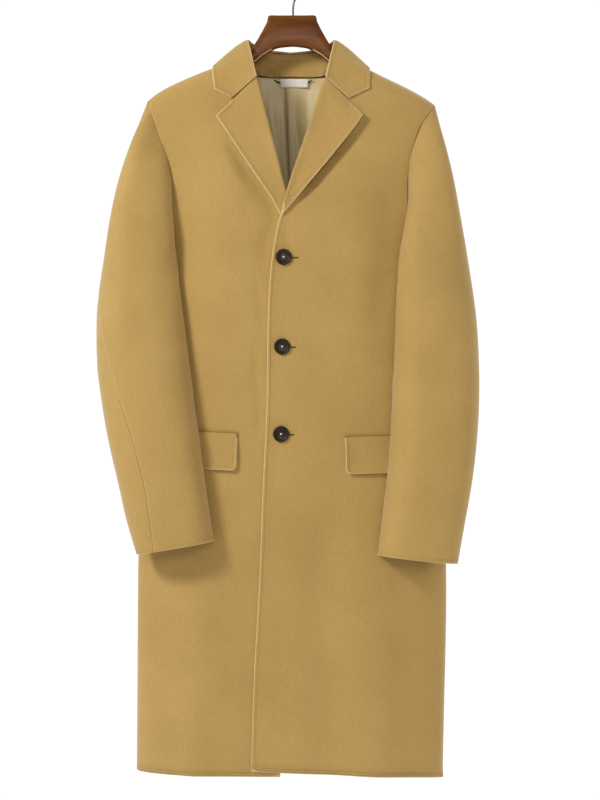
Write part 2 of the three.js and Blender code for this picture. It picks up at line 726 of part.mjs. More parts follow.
function addSleeve(side, rows, front, way) {
  const surface = sleevePlace(rows, front, backSurface, way, capBulges[side]);
  const elbow = (t) => {
    if (t < capShare) return mix(capElbow, rows[0].elbow, ease(t, 0, capShare));
    return evenColumn(rows, 'elbow', (t - capShare) / (1 - capShare));
  };
  const upper = (s, t) => surface(mix(elbow(t), inseamAngle, s), t);
  const lower = (s, t) => surface(mix(inseamAngle, elbow(t) + 360, s), t);
  const along = [...evenly(0, capShare, capRows), ...evenly(capShare, 1, armRows).slice(1)];
  const trim = { start: seamHalf, end: seamHalf, first: 0, last: 0 };
  const outward = way;
  const upperColumns = Math.round((inseamAngle - capElbow) / armholeStep);
  const underColumns = 2 * (Math.round(360 / armholeStep) - upperColumns);
  const fine = (135 - capElbow) / armholeStep / upperColumns;
  const across = [...evenly(0, fine, Math.round(fine * upperColumns)), ...evenly(fine, 1, 6).slice(1)];
  const meets = (from, to) => (s, normal) => {
    const angle = (mix(from, to, s) + 360) % 360;
    const edge = armhole(front, backSurface, way, angle);
    return edge.normal.lerp(normal, edge.low).normalize();
  };
  const upperMeets = meets(elbow(0), inseamAngle);
  const underMeets = meets(inseamAngle, elbow(0) + 360);
  const underAcross = evenly(0, 1, underColumns);
  add(`sleeve_${side}_upper`, wall(upper, across, along, clothThick, outward, trim, upperMeets), wool);
  add(`sleeve_${side}_under`, wall(lower, underAcross, along, clothThick, outward, trim, underMeets), wool);
}

// The collar

function collarRow(around) {
  const half = around < 0.5 ? around * 2 : (1 - around) * 2;
  const way = around < 0.5 ? -1 : 1;
  const value = (name) => evenColumn(collarRows, name, half);
  return { half, way, value };
}

// Where the collar's stand meets the neck edges of the fronts and the back
function neckSeam(around) {
  const { half, way } = collarRow(around);
  const front = way < 0 ? rightFront : leftFront;
  if (half < neckFrontShare) {
    const t = ((1 - half / neckFrontShare) * neckRows) / (leftFrontRows.length - 1);
    const inwards = tangent(front, 0, t, true).normalize().multiplyScalar(-gap);
    return front(0, t).add(inwards);
  }
  const share = (half - neckFrontShare) / (1 - neckFrontShare);
  const reach = backNeckHalf * Math.cos((share * Math.PI) / 2);
  const x = neckMiddleX + way * reach;
  const neck = neckDrop(x);
  const lifted = Math.max(0, neck - standLift * share ** standLiftPower);
  const turn = turnAt(x, shoulderHeight(x) - neckProbe, true);
  const point = bodyPoint(turn, lifted);
  point.x -= way * gap * (1 - share);
  return point;
}

function foldLine(around) {
  const { way, value } = collarRow(around);
  return new THREE.Vector3(neckMiddleX + way * value('foldOut'), value('foldY'), value('foldZ'));
}

function collarEdge(around) {
  const { way, value } = collarRow(around);
  const x = neckMiddleX + way * value('edgeOut');
  const drop = value('edgeDrop');
  const turn = turnAt(x, shoulderHeight(x) - Math.abs(drop));
  const point = bodyPoint(turn, drop);
  const along = bodyPoint(turn, drop + probeDrop).sub(bodyPoint(turn, drop - probeDrop));
  const across = bodyPoint(turn + probeTurn, drop).sub(bodyPoint(turn - probeTurn, drop));
  return point.addScaledVector(along.cross(across).normalize(), collarLift);
}

// The collar's front end, from the fold along the lapel to the notch and on to the corner
function gorgeEdge(start, way, t) {
  const row = gorges.find((side) => side.way === way);
  const notch = onFront(row.notchX, row.notchZ, layLift + notchLift, way < 0);
  if (t < gorgeShare) return start.clone().lerp(notch, t / gorgeShare);
  const corner = onFront(row.cornerX, row.cornerZ, collarLift, way < 0);
  return notch.lerp(corner, (t - gorgeShare) / (1 - gorgeShare));
}

function addCollar() {
  const stand = (s, t) => {
    return neckSeam(s).lerp(foldLine(s), t);
  };
  const around = evenly(0, 1, collarColumns);
  add('collar_stand', wall(stand, around.slice(1, -1), evenly(0, 1, 3), clothThick, -1), wool);

  const leaf = (s, t) => {
    const { half, way } = collarRow(s);
    const fold = foldLine(s);
    const turn = (half * Math.PI) / 2;
    const inwards = new THREE.Vector3(-way * Math.cos(turn), -Math.sin(turn), 0);
    const backwards = ease(half, 0, collarFrontShare);
    const up = new THREE.Vector3(0, backwards - 1, backwards + 0.1).normalize();
    const start = fold.clone().addScaledVector(inwards, clothThick);
    start.addScaledVector(up, clothThick + gap + collarSeat);
    const edge = collarEdge(s);
    const roll = start.clone().addScaledVector(inwards, -collarRoll);
    const low = edge.clone().lerp(start, collarBellyAt).addScaledVector(up, collarBelly);
    const a = start.clone().lerp(roll, t);
    const b = roll.clone().lerp(low, t);
    const c = low.clone().lerp(edge, t);
    const curve = a.lerp(b, t).lerp(b.lerp(c, t), t);
    return curve.lerp(gorgeEdge(start, way, t), 1 - ease(half, 0, gorgeFade));
  };
  add('collar_fall', wall(leaf, around, evenly(0, 1, 8), clothThick, 1), wool);
}

// The lapels

function lapelPlace(lapel, under) {
  const bottom = new THREE.Vector2(lapel.rollBottomX, lapel.rollBottomZ);
  const top = new THREE.Vector2(lapel.rollTopX, lapel.rollTopZ);
  const way = Math.sign(lapel.edge.at(-1).x - lapel.rollTopX);
  const along = top.clone().sub(bottom).normalize();
  const outwards = new THREE.Vector2(way * Math.abs(along.y), -way * along.x * Math.sign(along.y));
  const turnRadius = (lapelRoll + clothThick) / 2;
  return (s, t) => {
    const roll = bottom.clone().lerp(top, t);
    const slim = mix(lapelBottomSlim, 1, ease(t, 0, lapelSlimTo));
    if (s < lapelTurnShare) {
      const angle = (s / lapelTurnShare) * Math.PI;
      const at = roll.clone().addScaledVector(outwards, -turnRadius * slim * Math.sin(angle) - gap);
      const lift = turnRadius * (1 - Math.cos(angle)) * slim - clothThick;
      return onFront(at.x, at.y, lift, under);
    }
    const share = (s - lapelTurnShare) / (1 - lapelTurnShare);
    const edge = new THREE.Vector2(column(lapel.edge, 'at', 'x', t), column(lapel.edge, 'at', 'z', t));
    const at = roll.addScaledVector(outwards, -gap).lerp(edge, share);
    const high = 2 * turnRadius * slim - clothThick;
    return onFront(at.x, at.y, mix(layLift + gap, high, (1 - share) ** 2), under);
  };
}

function addLapel(name, lapel, under, outward) {
  const turnColumns = evenly(0, lapelTurnShare, 5);
  const bladeColumns = evenly(lapelTurnShare, 1, 8).slice(1);
  const place = lapelPlace(lapel, under);
  const trim = { last: seamHalf };
  add(name, wall(place, [...turnColumns, ...bladeColumns], evenly(0, 1, 12), clothThick, outward, trim), wool);
}

// The pocket flaps and the buttons on the fronts

function addFlap(flap) {
  const under = flap.way < 0;
  const across = [...flapCornerShares, ...evenly(0.2, 1, 7)];
  const place = (s, t) => {
    const along = s * flapLong;
    const corner = Math.max(0, flapCorner - along);
    const high = flapHigh - (flapCorner - Math.sqrt(Math.max(0, flapCorner ** 2 - corner ** 2)));
    const lean = (1 - s) * flapLean * t;
    const x = flap.x + flap.way * (along + lean);
    const z = flap.z + flap.rise * along - t * high;
    return onFront(x, z, layLift + flapClear, under);
  };
  add(flap.name, wall(place, across, evenly(0, 1, 4), clothThick, -flap.way), wool);
}

async function makeButton() {
  const wasm = await Module();
  wasm.setup();
  const profile = buttonProfile.map((row) => new THREE.Vector2(row.out, row.up));
  const disc = new THREE.LatheGeometry(profile, buttonSides);
  const cylinder = new THREE.CylinderGeometry(buttonHoleRadius, buttonHoleRadius, 12, 6);
  const asSolid = (geometry) => {
    const merged = mergeVertices(geometry.deleteAttribute('normal').deleteAttribute('uv'), 0.001);
    const mesh = new wasm.Mesh({
      numProp: 3,
      vertProperties: merged.attributes.position.array,
      triVerts: Uint32Array.from(merged.index.array),
    });
    return new wasm.Manifold(mesh);
  };
  let solid = asSolid(disc);
  const hole = asSolid(cylinder);
  for (const [x, z] of [[1, 1], [-1, 1], [1, -1], [-1, -1]]) {
    solid = solid.subtract(hole.translate([x * buttonHoleOut, 0, z * buttonHoleOut]));
  }
  const cut = solid.getMesh();
  return solidOf(cut.vertProperties, Array.from(cut.triVerts));
}

async function addButtons() {
  const geometry = await makeButton();
  for (const button of buttonPlaces) {
    const seat = onFront(button.x, button.z, 0);
    const out = onFront(button.x, button.z, 1).sub(seat).normalize();
    const mesh = add(button.name, geometry, horn);
    mesh.quaternion.setFromUnitVectors(new THREE.Vector3(0, 1, 0), out);
    mesh.position.copy(seat).addScaledVector(out, buttonSeat);
  }
}

// The label and the tape of the hanger loop, on the lining just below the neck seam

function onBackInside(x, z, depth) {
  const turn = turnAt(x, z, true);
  const drop = dropAt(x, z);
  const point = bodyPoint(turn, drop);
  const across = bodyPoint(turn + probeTurn, drop).sub(bodyPoint(turn - probeTurn, drop));
  const down = bodyPoint(turn, drop + probeDrop).sub(bodyPoint(turn, drop - probeDrop));
  const outwards = across.cross(down).normalize();
  if (outwards.y < 0) outwards.negate();
  return point.addScaledVector(outwards, -depth);
}

function neckHeight(x) {
  return bodyPoint(turnAt(x, shoulderHeight(x) - neckProbe, true), neckDrop(x)).z;
}

function addLabel() {
  const liningFace = clothThick + gap + liningThick + liningPleatHigh;
  const tapeFace = liningFace + gap + tapeThick;
  const labelFace = tapeFace + gap + tapeThick;
  const top = neckHeight(0) - 1;
  const labelPlace = (s, t) => onBackInside(mix(label.left, label.right, s), top - t * label.high, labelFace);
  add('label', wall(labelPlace, evenly(0, 1, 6), evenly(0, 1, 2), tapeThick, 1), white);
  const tapePlace = (s, t) => {
    const x = mix(tapeEnds.left, tapeEnds.right, s);
    const dip = tapeDip * Math.sqrt(Math.max(0, Math.sin(Math.PI * s)));
    return onBackInside(x, top - dip - t * tapeHigh, tapeFace);
  };
  add('hanger_loop', wall(tapePlace, evenly(0, 1, 14), evenly(0, 1, 1), tapeThick, 1), black);
}

// The hanger

function hangerSide(way) {
  const head = hangerRows.map((row) => {
    return { ...row, x: hangerMiddleX + way * row.out, y: hangerY, square: headSquare };
  });
  const arm = armSections.map((row) => {
    const x = hangerMiddleX + way * row.out;
    const top = shoulderHeight(x) - hangerUnder - row.low;
    return { ...row, x, y: armY, top, bottom: top - row.high, square: armSquare };
  });
  return [...head, ...arm];
}

function addHanger() {
  const sections = [...hangerSide(-1).reverse(), ...hangerSide(1).slice(1)];
  const points = [];
  for (const row of sections) {
    for (let i = 0; i < hangerRing; i++) {
      const angle = ((i + 0.5) / hangerRing) * 2 * Math.PI;
      const round = (value) => Math.sign(value) * Math.abs(value) ** row.square;
      const y = row.y + row.half * round(Math.cos(angle));
      const z = mix(row.bottom, row.top, 0.5 + 0.5 * round(Math.sin(angle)));
      points.push(new THREE.Vector3(row.x, y, z));
    }
  }
  const faces = [];
  const count = sections.length;
  for (let j = 0; j < count - 1; j++) {
    for (let i = 0; i < hangerRing; i++) {
      const next = (i + 1) % hangerRing;
      const a = j * hangerRing + i;
      const b = j * hangerRing + next;
      faces.push(a, b, b + hangerRing, a, b + hangerRing, a + hangerRing);
    }
  }
  const last = (count - 1) * hangerRing;
  for (let i = 1; i < hangerRing - 1; i++) {
    faces.push(0, i + 1, i);
    faces.push(last, last + i, last + i + 1);
  }
  add('hanger_body', solidOf(points.flatMap((point) => point.toArray()), faces), wood);

  const wire = hookRadius + wireRadius;
  const arc = (degrees) => {
    const angle = (degrees * Math.PI) / 180;
    return new THREE.Vector3(wire * Math.cos(angle), hangerY, -hookRadius + wire * Math.sin(angle));
  };
  const stem = hangerRows[0].top + gap;
  const bends = stemBends.map((bend) => new THREE.Vector3(bend.out, hangerY, stem + bend.up));
  for (let degrees = hookArc.from; degrees <= hookArc.to; degrees += hookArc.step) bends.push(arc(degrees));
  const path = new THREE.CatmullRomCurve3(bends, false, 'centripetal');
  const ring = new THREE.Shape();
  ring.absarc(0, 0, wireRadius, 0, 2 * Math.PI, false);
  const options = { steps: 30, curveSegments: 4, bevelEnabled: false, extrudePath: path };
  add('hanger_hook', new THREE.ExtrudeGeometry(ring, options), metal);
}

addBody();
addLining();
addSleeve('right', rightSleeveRows, rightFront, -1);
addSleeve('left', leftSleeveRows, leftFront, 1);
addCollar();
addLapel('lapel_right', rightLapel, true, -1);
addLapel('lapel_left', leftLapel, false, 1);
for (const flap of flaps) addFlap(flap);
await addButtons();
addLabel();
addHanger();

export default group;
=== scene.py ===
# %% [markdown]
# # A wool overcoat on its hanger
# The imported model gives the coat's solids: each cut piece of cloth is a wall of a few faces, in its true
# place. A real coat is softer than that, so each wall is copied, made smooth, creased and given its finish
# here. Sizes are written in millimetres and turned into metres by MM, because a tailor's numbers are easier
# to read.
# %% Start from the imported model
import math
from collections import deque

import bmesh
import bpy
import numpy as np
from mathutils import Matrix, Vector
from mathutils.bvhtree import BVHTree
from mathutils.kdtree import KDTree


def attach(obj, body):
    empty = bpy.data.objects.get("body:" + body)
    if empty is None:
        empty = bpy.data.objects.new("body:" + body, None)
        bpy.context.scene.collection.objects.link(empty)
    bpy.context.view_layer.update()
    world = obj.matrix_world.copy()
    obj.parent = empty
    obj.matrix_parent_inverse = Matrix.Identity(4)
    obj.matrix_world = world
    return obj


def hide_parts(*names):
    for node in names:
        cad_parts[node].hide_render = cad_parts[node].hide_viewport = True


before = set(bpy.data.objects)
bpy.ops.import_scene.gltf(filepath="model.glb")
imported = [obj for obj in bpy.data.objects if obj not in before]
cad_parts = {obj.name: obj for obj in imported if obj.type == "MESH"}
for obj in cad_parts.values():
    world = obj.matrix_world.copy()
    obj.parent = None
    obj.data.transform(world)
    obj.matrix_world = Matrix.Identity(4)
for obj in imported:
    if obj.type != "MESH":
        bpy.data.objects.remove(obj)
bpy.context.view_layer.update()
MM = 0.001
print("pieces in the frame:", len(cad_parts))

# %% [markdown]
# ## Writing a finish as sums
# A material is a tree of nodes. Built by hand in code it soon hides what it means, so a small class wraps
# each socket and lets the sums be written as sums. Colours go through Mix nodes, because a Math node
# would turn them grey.
# %% Signals and finishes
class Signal:
    """One output of a finish's nodes, which can be used in sums."""

    def __init__(self, finish, socket):
        self.finish = finish
        self.socket = socket

    def __add__(self, other):
        return self.finish.maths("ADD", self, other)

    def __sub__(self, other):
        return self.finish.maths("SUBTRACT", self, other)

    def __rsub__(self, other):
        return self.finish.maths("SUBTRACT", other, self)

    def __mul__(self, other):
        return self.finish.maths("MULTIPLY", self, other)

    def __truediv__(self, other):
        return self.finish.maths("DIVIDE", self, other)

    def __abs__(self):
        return self.finish.maths("ABSOLUTE", self)

    __radd__ = __add__
    __rmul__ = __mul__


class Finish:
    """A material whose nodes are made from Python values and signals."""

    def __init__(self, name):
        self.material = bpy.data.materials.new(name)
        self.material.use_nodes = True
        self.tree = self.material.node_tree
        self.shader = self.tree.nodes["Principled BSDF"]
        self.place = self.node("ShaderNodeTexCoord", output="Object")

    def node(self, kind, settings=None, inputs=None, output=0):
        node = self.tree.nodes.new(kind)
        for name, value in (settings or {}).items():
            setattr(node, name, value)
        for name, value in (inputs or {}).items():
            if isinstance(value, Signal):
                self.tree.links.new(value.socket, node.inputs[name])
            else:
                node.inputs[name].default_value = value
        return Signal(self, node.outputs[output])

    def maths(self, operation, first, second=0.0, clamped=False):
        settings = {"operation": operation, "use_clamp": clamped}
        return self.node("ShaderNodeMath", settings, {0: first, 1: second})

    def clamped(self, value):
        return self.maths("ADD", value, 0.0, clamped=True)

    def mix(self, first, second, share):
        settings = {"data_type": "RGBA", "clamp_factor": True}
        return self.node("ShaderNodeMix", settings, {0: share, 6: first, 7: second}, output=2)

    def noise(self, per_metre, detail=2.0, stretch=(1, 1, 1), roughness=0.5):
        turned = self.node("ShaderNodeMapping", None, {"Vector": self.place, "Scale": stretch})
        values = {"Vector": turned, "Scale": per_metre, "Detail": detail, "Roughness": roughness}
        return self.node("ShaderNodeTexNoise", None, values)

    def attribute(self, name):
        return self.node("ShaderNodeAttribute", {"attribute_name": name}, output="Fac")

    def band(self, value, centre, half):
        """1 where value is at centre, falling to 0 at half away from it."""
        return self.clamped(1 - abs(value - centre) / half)

    def colour(self, signal):
        self.tree.links.new(signal.socket, self.shader.inputs["Base Color"])

    def roughness(self, signal):
        self.tree.links.new(signal.socket, self.shader.inputs["Roughness"])

    def relief(self, height, depth_mm, strength=1.0):
        values = {"Height": height, "Distance": depth_mm * MM, "Strength": strength}
        bump = self.node("ShaderNodeBump", None, values)
        self.tree.links.new(bump.socket, self.shader.inputs["Normal"])

    def constants(self, **values):
        for name, value in values.items():
            self.shader.inputs[name.replace("_", " ").title().replace("Ior", "IOR")].default_value = value


def rgb(red, green, blue):
    return (red, green, blue, 1.0)


# %% [markdown]
# ## The wool
# Double-faced coating wool is felted, so its weave hardly shows: what the eye reads is a short matt nap,
# small flecks of lighter and darker fibre, and soft clouds of tone. The raw edges are paler where the
# felt is cut, and a line of tiny hand stitches runs beside them. A picture of wool would do for one flat
# piece, but it would slide and stretch over thirteen, so everything is worked out from the place.
# Attributes of the mesh tell the material where it is: edge_mm is the distance to the nearest free edge,
# seam_mm the one to the nearest seam and along_mm the distance along either. Pucker is where the seam
# draws the cloth up, and welt marks the flaps. A pale band along the seams is a painted highlight on the
# seams' ridges, and a dark band along the flaps' sewn rims is painted shade where the cloth sinks in.
# %% The wool's finish
STITCH_IN = 5.6
STITCH_STEP = 5.0
STITCH_HALF = 1.3
RAW_EDGE = 1.5
SEAM_BAND_HALF = 2.2
WELT_SHADOW_HALF = 2.0
FAR_FROM_EDGE = 60.0
RAW_WOOL = rgb(0.90, 0.72, 0.43)
STITCH_SHADE = rgb(0.23, 0.13, 0.035)
# Painted highlight along the seams
PAINTED_SEAM_HIGHLIGHT = rgb(0.80, 0.60, 0.31)
# Painted shade along the flaps' sewn rims
PAINTED_WELT_SHADOW = rgb(0.13, 0.065, 0.018)
WOOL_SHEEN = rgb(1.0, 0.93, 0.80)


def make_wool(name, dark, light):
    wool = Finish(name)
    nap = wool.noise(900, 3, roughness=0.7)
    fibre = wool.noise(260, 2, stretch=(1.6, 1, 0.5))
    cloud = wool.noise(11, 2)
    edge = wool.attribute("edge_mm")
    along = wool.attribute("along_mm")
    seam = wool.attribute("seam_mm")
    pucker = wool.attribute("pucker")
    welt = wool.attribute("welt")
    tone = 0.5 + (nap - 0.5) * 0.75 + (fibre - 0.5) * 0.45 + (cloud - 0.5) * 0.55
    colour = wool.mix(dark, light, wool.clamped(tone))
    raw = wool.band(edge, 0.0, RAW_EDGE)
    colour = wool.mix(colour, RAW_WOOL, raw * 0.9)
    wave = wool.maths("SINE", along * (2 * math.pi / STITCH_STEP)) * 0.5 + 0.5
    line = wool.band(edge, STITCH_IN, STITCH_HALF)
    stitch = line * (wave * 0.6 + 0.4)
    colour = wool.mix(colour, STITCH_SHADE, stitch * 0.22)
    # Seam band: a dip in the relief, and a painted highlight in the colour
    seam_dip_and_highlight = wool.band(seam, 0.0, SEAM_BAND_HALF)
    colour = wool.mix(colour, PAINTED_SEAM_HIGHLIGHT, seam_dip_and_highlight * (1 - welt) * 0.30)
    # Painted shade: a dark band along each flap's sewn rim
    colour = wool.mix(colour, PAINTED_WELT_SHADOW, wool.band(seam, 0.0, WELT_SHADOW_HALF) * welt * 0.8)
    wool.colour(colour)
    ripple = wool.noise(95, 1, stretch=(0.5, 0.5, 1.5)) * pucker
    puff = wool.band(edge, STITCH_IN * 0.45, 3.2) * 0.5
    height = nap * 0.16 + fibre * 0.14 + puff - stitch * 0.4 - seam_dip_and_highlight * 0.25 + ripple * 1.1
    wool.relief(height, 0.9)
    wool.constants(roughness=0.93, specular_ior_level=0.18)
    wool.constants(sheen_weight=0.4, sheen_roughness=0.4)
    wool.constants(sheen_tint=WOOL_SHEEN)
    return wool.material


WOOL = make_wool("camel_wool", rgb(0.373, 0.241, 0.072), rgb(0.553, 0.384, 0.145))
print("wool finish:", len(WOOL.node_tree.nodes), "nodes")

# %% [markdown]
# ## Smooth walls from the solids
# Each solid is a wall of flat faces. Cloth could also be laid over it by a simulation, but then it would
# hang where the computer likes and not as it does on this hanger. So a copy is merged, its triangles are
# joined to four-sided faces, and its rims are creased so that a subdivision surface rounds the cloth but
# keeps the cut edges where they are. Such a surface runs inside its corners, so the corners are first
# moved out until it passes through their old places.
# %% Read and move a mesh's points
def points_of(piece):
    flat = np.empty(len(piece.data.vertices) * 3)
    piece.data.vertices.foreach_get("co", flat)
    return flat.reshape(-1, 3)


def move_points(piece, points):
    piece.data.vertices.foreach_set("co", points.ravel())
    piece.data.update()


def link(mesh, name):
    piece = bpy.data.objects.new(name, mesh)
    bpy.context.collection.objects.link(piece)
    return piece


def applied(piece):
    """The piece with its modifiers made part of its mesh."""
    bpy.context.view_layer.update()
    finished = bpy.data.meshes.new_from_object(piece.evaluated_get(bpy.context.evaluated_depsgraph_get()))
    piece.modifiers.clear()
    piece.data = finished
    return piece


def shade_smooth(mesh):
    for face in mesh.polygons:
        face.use_smooth = True


print("helpers for meshes are ready")

# %% Copy a solid and make it smooth
RIM_ANGLE = math.radians(52)
FLAT_WITHIN = math.radians(40)
SQUARE_WITHIN = math.radians(120)
MERGE_WITHIN = 0.02
CLOTH_LEVELS = 3
FIT_ROUNDS = 5
FIT_SHARE = 0.9


def fit_corners(piece):
    """Move the corners until the smooth surface passes through where they were."""
    wanted = points_of(piece)
    corners = wanted.copy()
    for _ in range(FIT_ROUNDS):
        bpy.context.view_layer.update()
        smooth = piece.evaluated_get(bpy.context.evaluated_depsgraph_get())
        reached = points_of(smooth)[: len(wanted)]
        corners += (wanted - reached) * FIT_SHARE
        move_points(piece, corners)


def smooth_copy(node, name, levels, rim_angle=RIM_ANGLE):
    shape = bmesh.new()
    shape.from_mesh(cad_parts[node].data)
    bmesh.ops.remove_doubles(shape, verts=shape.verts, dist=MERGE_WITHIN * MM)
    bmesh.ops.join_triangles(
        shape, faces=shape.faces, angle_face_threshold=FLAT_WITHIN, angle_shape_threshold=SQUARE_WITHIN
    )
    crease = shape.edges.layers.float.new("crease_edge")
    for edge in shape.edges:
        if len(edge.link_faces) == 2 and edge.calc_face_angle() > rim_angle:
            edge[crease] = 1.0
    mesh = bpy.data.meshes.new(name)
    shape.to_mesh(mesh)
    shape.free()
    piece = link(mesh, name)
    surface = piece.modifiers.new("smooth", "SUBSURF")
    surface.levels = surface.render_levels = 1
    fit_corners(piece)
    surface.levels = surface.render_levels = levels
    applied(piece)
    shade_smooth(piece.data)
    return piece


print("the cloth is divided", CLOTH_LEVELS, "times")

# %% [markdown]
# ## Which rims are cut edges and which are seams
# A rim of a wall is a free edge, which has the pale raw cut and the hand stitches, or a seam, where two
# pieces meet and the cloth dips, or the roll line, where a lapel turns over and nothing shows. The rims
# could be marked by hand in the editor, but the marks would be lost whenever the model is made again. A
# short test on where a rim lies finds them again every time.
# %% Tell the rims apart
HEM_TOP = -1195 * MM
CUFF_TOP = -850 * MM
NECK_END = -170 * MM
FRONT_EDGE = 75 * MM
FLAP_TOP = -713.5 * MM
STAND_TOP = -140 * MM
STAND_SEAM_DROP = 6 * MM
STEEP = 0.6
GORGE_REACH = 3.5 * MM
GORGES = (
    (Vector((-58, -171, 0)) * MM, Vector((-93.5, -203, 0)) * MM),
    (Vector((52.5, -171, 0)) * MM, Vector((84, -203, 0)) * MM),
)
ROLL_REACH = 8 * MM
ROLLS = (
    (Vector((-13.2, -345, 0)) * MM, Vector((-58, -171.5, 0)) * MM),
    (Vector((-1.7, -330, 0)) * MM, Vector((52.5, -171.5, 0)) * MM),
)


def near_lines(point, lines, reach):
    flat = Vector((point[0], point[2], 0))
    for start, end in lines:
        side = end - start
        share = max(0.0, min(1.0, (flat - start).dot(side) / side.length_squared))
        if (flat - start - side * share).length < reach:
            return True
    return False


def is_free(kind, place, steep):
    """Whether a bit of rim is a cut edge: steep is how upright it runs, from 0 to 1."""
    level = steep < STEEP
    if kind == "front":
        return (level and place.z < HEM_TOP) or (abs(place.x) < FRONT_EDGE and place.z < NECK_END)
    if kind == "back":
        return level and place.z < HEM_TOP
    if kind == "sleeve":
        return level and place.z < CUFF_TOP
    if kind == "flap":
        return place.z < FLAP_TOP
    return not near_lines(place, GORGES, GORGE_REACH)


print("lines where the collar is sewn or rolls:", len(GORGES) + len(ROLLS))

# %% Walk along the rims
RIM_STEP = 1.0 * MM


def ways_along(sharp):
    """The way along the rim to each of its corners, from the first one of each rim."""
    nearby = {}
    for edge in sharp:
        for end in edge.verts:
            nearby.setdefault(end, []).append(edge)
    way = {}
    for first in nearby:
        if first in way:
            continue
        way[first] = 0.0
        queue = deque([first])
        while queue:
            here = queue.popleft()
            for edge in nearby[here]:
                other = edge.other_vert(here)
                if other not in way:
                    way[other] = way[here] + edge.calc_length()
                    queue.append(other)
    return way


def rim_samples(piece, kind):
    """Points along a wall's rims, each with the way to it: the free, the sewn and the rolled ones."""
    shape = bmesh.new()
    shape.from_mesh(piece.data)
    sharp = [e for e in shape.edges if len(e.link_faces) == 2 and e.calc_face_angle() > RIM_ANGLE]
    way = ways_along(sharp)
    free, sewn, rolled = [], [], []
    for edge in sharp:
        start, end = edge.verts
        long = edge.calc_length()
        middle = (start.co + end.co) / 2
        drop = Vector((0, 0, 0))
        steep = abs(end.co.z - start.co.z) / max(long, MM * 0.01)
        if kind in ("front", "lapel") and near_lines(middle, ROLLS, ROLL_REACH):
            samples = rolled
        elif kind == "collar_stand":
            samples = sewn
            if middle.z > STAND_TOP:
                drop.z = -STAND_SEAM_DROP
        else:
            samples = free if is_free(kind, middle, steep) else sewn
        count = max(1, math.ceil(long / RIM_STEP))
        for i in range(count):
            share = i / count
            along = way[start] * (1 - share) + way[end] * share
            samples.append((start.co.lerp(end.co, share) + drop, along))
    shape.free()
    return free, sewn, rolled


def nearest(points, samples):
    """Each point's distance to the samples, and the way along the rim there."""
    away = np.full(len(points), FAR_FROM_EDGE)
    along = np.zeros(len(points))
    if not samples:
        return away, along
    tree = KDTree(len(samples))
    for i, (place, _) in enumerate(samples):
        tree.insert(place, i)
    tree.balance()
    for i, point in enumerate(points):
        _, number, distance = tree.find(point)
        away[i] = min(FAR_FROM_EDGE, distance / MM)
        along[i] = samples[number][1] / MM
    return away, along


def mark(piece, name, values):
    layer = piece.data.attributes.new(name, "FLOAT", "POINT")
    layer.data.foreach_set("value", np.asarray(values, dtype=np.float32))


print("a rim is read every", RIM_STEP / MM, "mm")

# %% [markdown]
# ## Creases one by one
# The coat hangs smoothly, with a few soft troughs and ridges. A noise texture would spread them evenly,
# which cloth never does, so each is listed one by one. Each row is one of them: the piece it is on, where it
# starts and ends as seen from the front, how wide it is and how far it stands out (or in, below zero).
# The back and the insides of the sleeves get similar ones. They are uneven, as real ones are.
# %% The table of creases
def crease(on, start_x, start_z, end_x, end_z, wide, high):
    return {"on": on, "start": (start_x, start_z), "end": (end_x, end_z), "wide": wide, "high": high}


CREASES = [
    crease("front", -165, -330, -140, -520, 22, -2.2),
    crease("front", -130, -400, -112, -640, 30, 1.6),
    crease("front", 150, -330, 128, -540, 24, -2.4),
    crease("front", 112, -420, 96, -650, 28, 1.5),
    crease("front", -90, -240, -70, -420, 26, 1.2),
    crease("front", 66, -420, 30, -640, 24, -1.2),
    crease("front", 66, -790, 34, -1010, 26, -2.6),
    crease("front", 30, -880, 62, -1180, 34, -2.8),
    crease("front", 96, -820, 120, -1190, 30, 2.6),
    crease("front", 168, -860, 160, -1200, 24, -2.2),
    crease("front", -60, -800, -96, -1180, 36, -1.8),
    crease("front", -150, -930, -140, -1210, 30, 2.4),
    crease("front", -196, -900, -190, -1190, 22, -2.0),
    crease("front", -20, -760, -28, -900, 16, -1.0),
    crease("under_lapel", -90, -268, -26, -374, 12, -5.5),
    crease("under_lapel", 84, -252, -2, -366, 13, -5.0),
    crease("front", -78, -300, -34, -392, 13, -1.8),
    crease("front", -30, -372, -44, -452, 12, -2.2),
    crease("front", -4, -366, -6, -440, 9, -1.8),
    crease("front", -52, -590, -54, -700, 9, -2.0),
    crease("front", -52, -470, -50, -540, 8, -1.2),
    crease("stand", -56, -147, -46, -170, 5, -5.0),
    crease("stand", -38, -146, -32, -164, 4, 3.0),
    crease("stand", 44, -148, 38, -168, 5, -2.6),
    crease("back", -120, -260, -150, -520, 34, -2.6),
    crease("back", 110, -260, 146, -500, 34, -2.8),
    crease("back", -20, -220, -36, -480, 30, 1.8),
    crease("back", -80, -620, -104, -1150, 34, 3.0),
    crease("back", 20, -560, 14, -1180, 30, -3.2),
    crease("back", 96, -640, 120, -1190, 30, 2.8),
    crease("back", -160, -760, -170, -1200, 24, -2.6),
    crease("back", 168, -520, 176, -980, 24, -2.2),
    crease("sleeve_right", -215, -240, -232, -420, 20, -2.2),
    crease("sleeve_right", -190, -360, -196, -520, 16, -2.0),
    crease("sleeve_right", -252, -330, -262, -560, 22, 1.6),
    crease("sleeve_right", -236, -540, -180, -590, 18, -2.4),
    crease("sleeve_right", -250, -600, -190, -640, 16, 1.8),
    crease("sleeve_right", -214, -660, -176, -840, 22, -1.6),
    crease("sleeve_right", -158, -700, -146, -850, 14, 1.3),
    crease("sleeve_left", 206, -250, 222, -430, 20, -2.2),
    crease("sleeve_left", 176, -360, 184, -540, 16, 2.0),
    crease("sleeve_left", 240, -360, 250, -580, 22, -1.8),
    crease("sleeve_left", 262, -560, 204, -610, 18, -2.2),
    crease("sleeve_left", 232, -640, 214, -860, 24, -1.8),
    crease("sleeve_left", 176, -600, 164, -850, 18, 1.8),
]

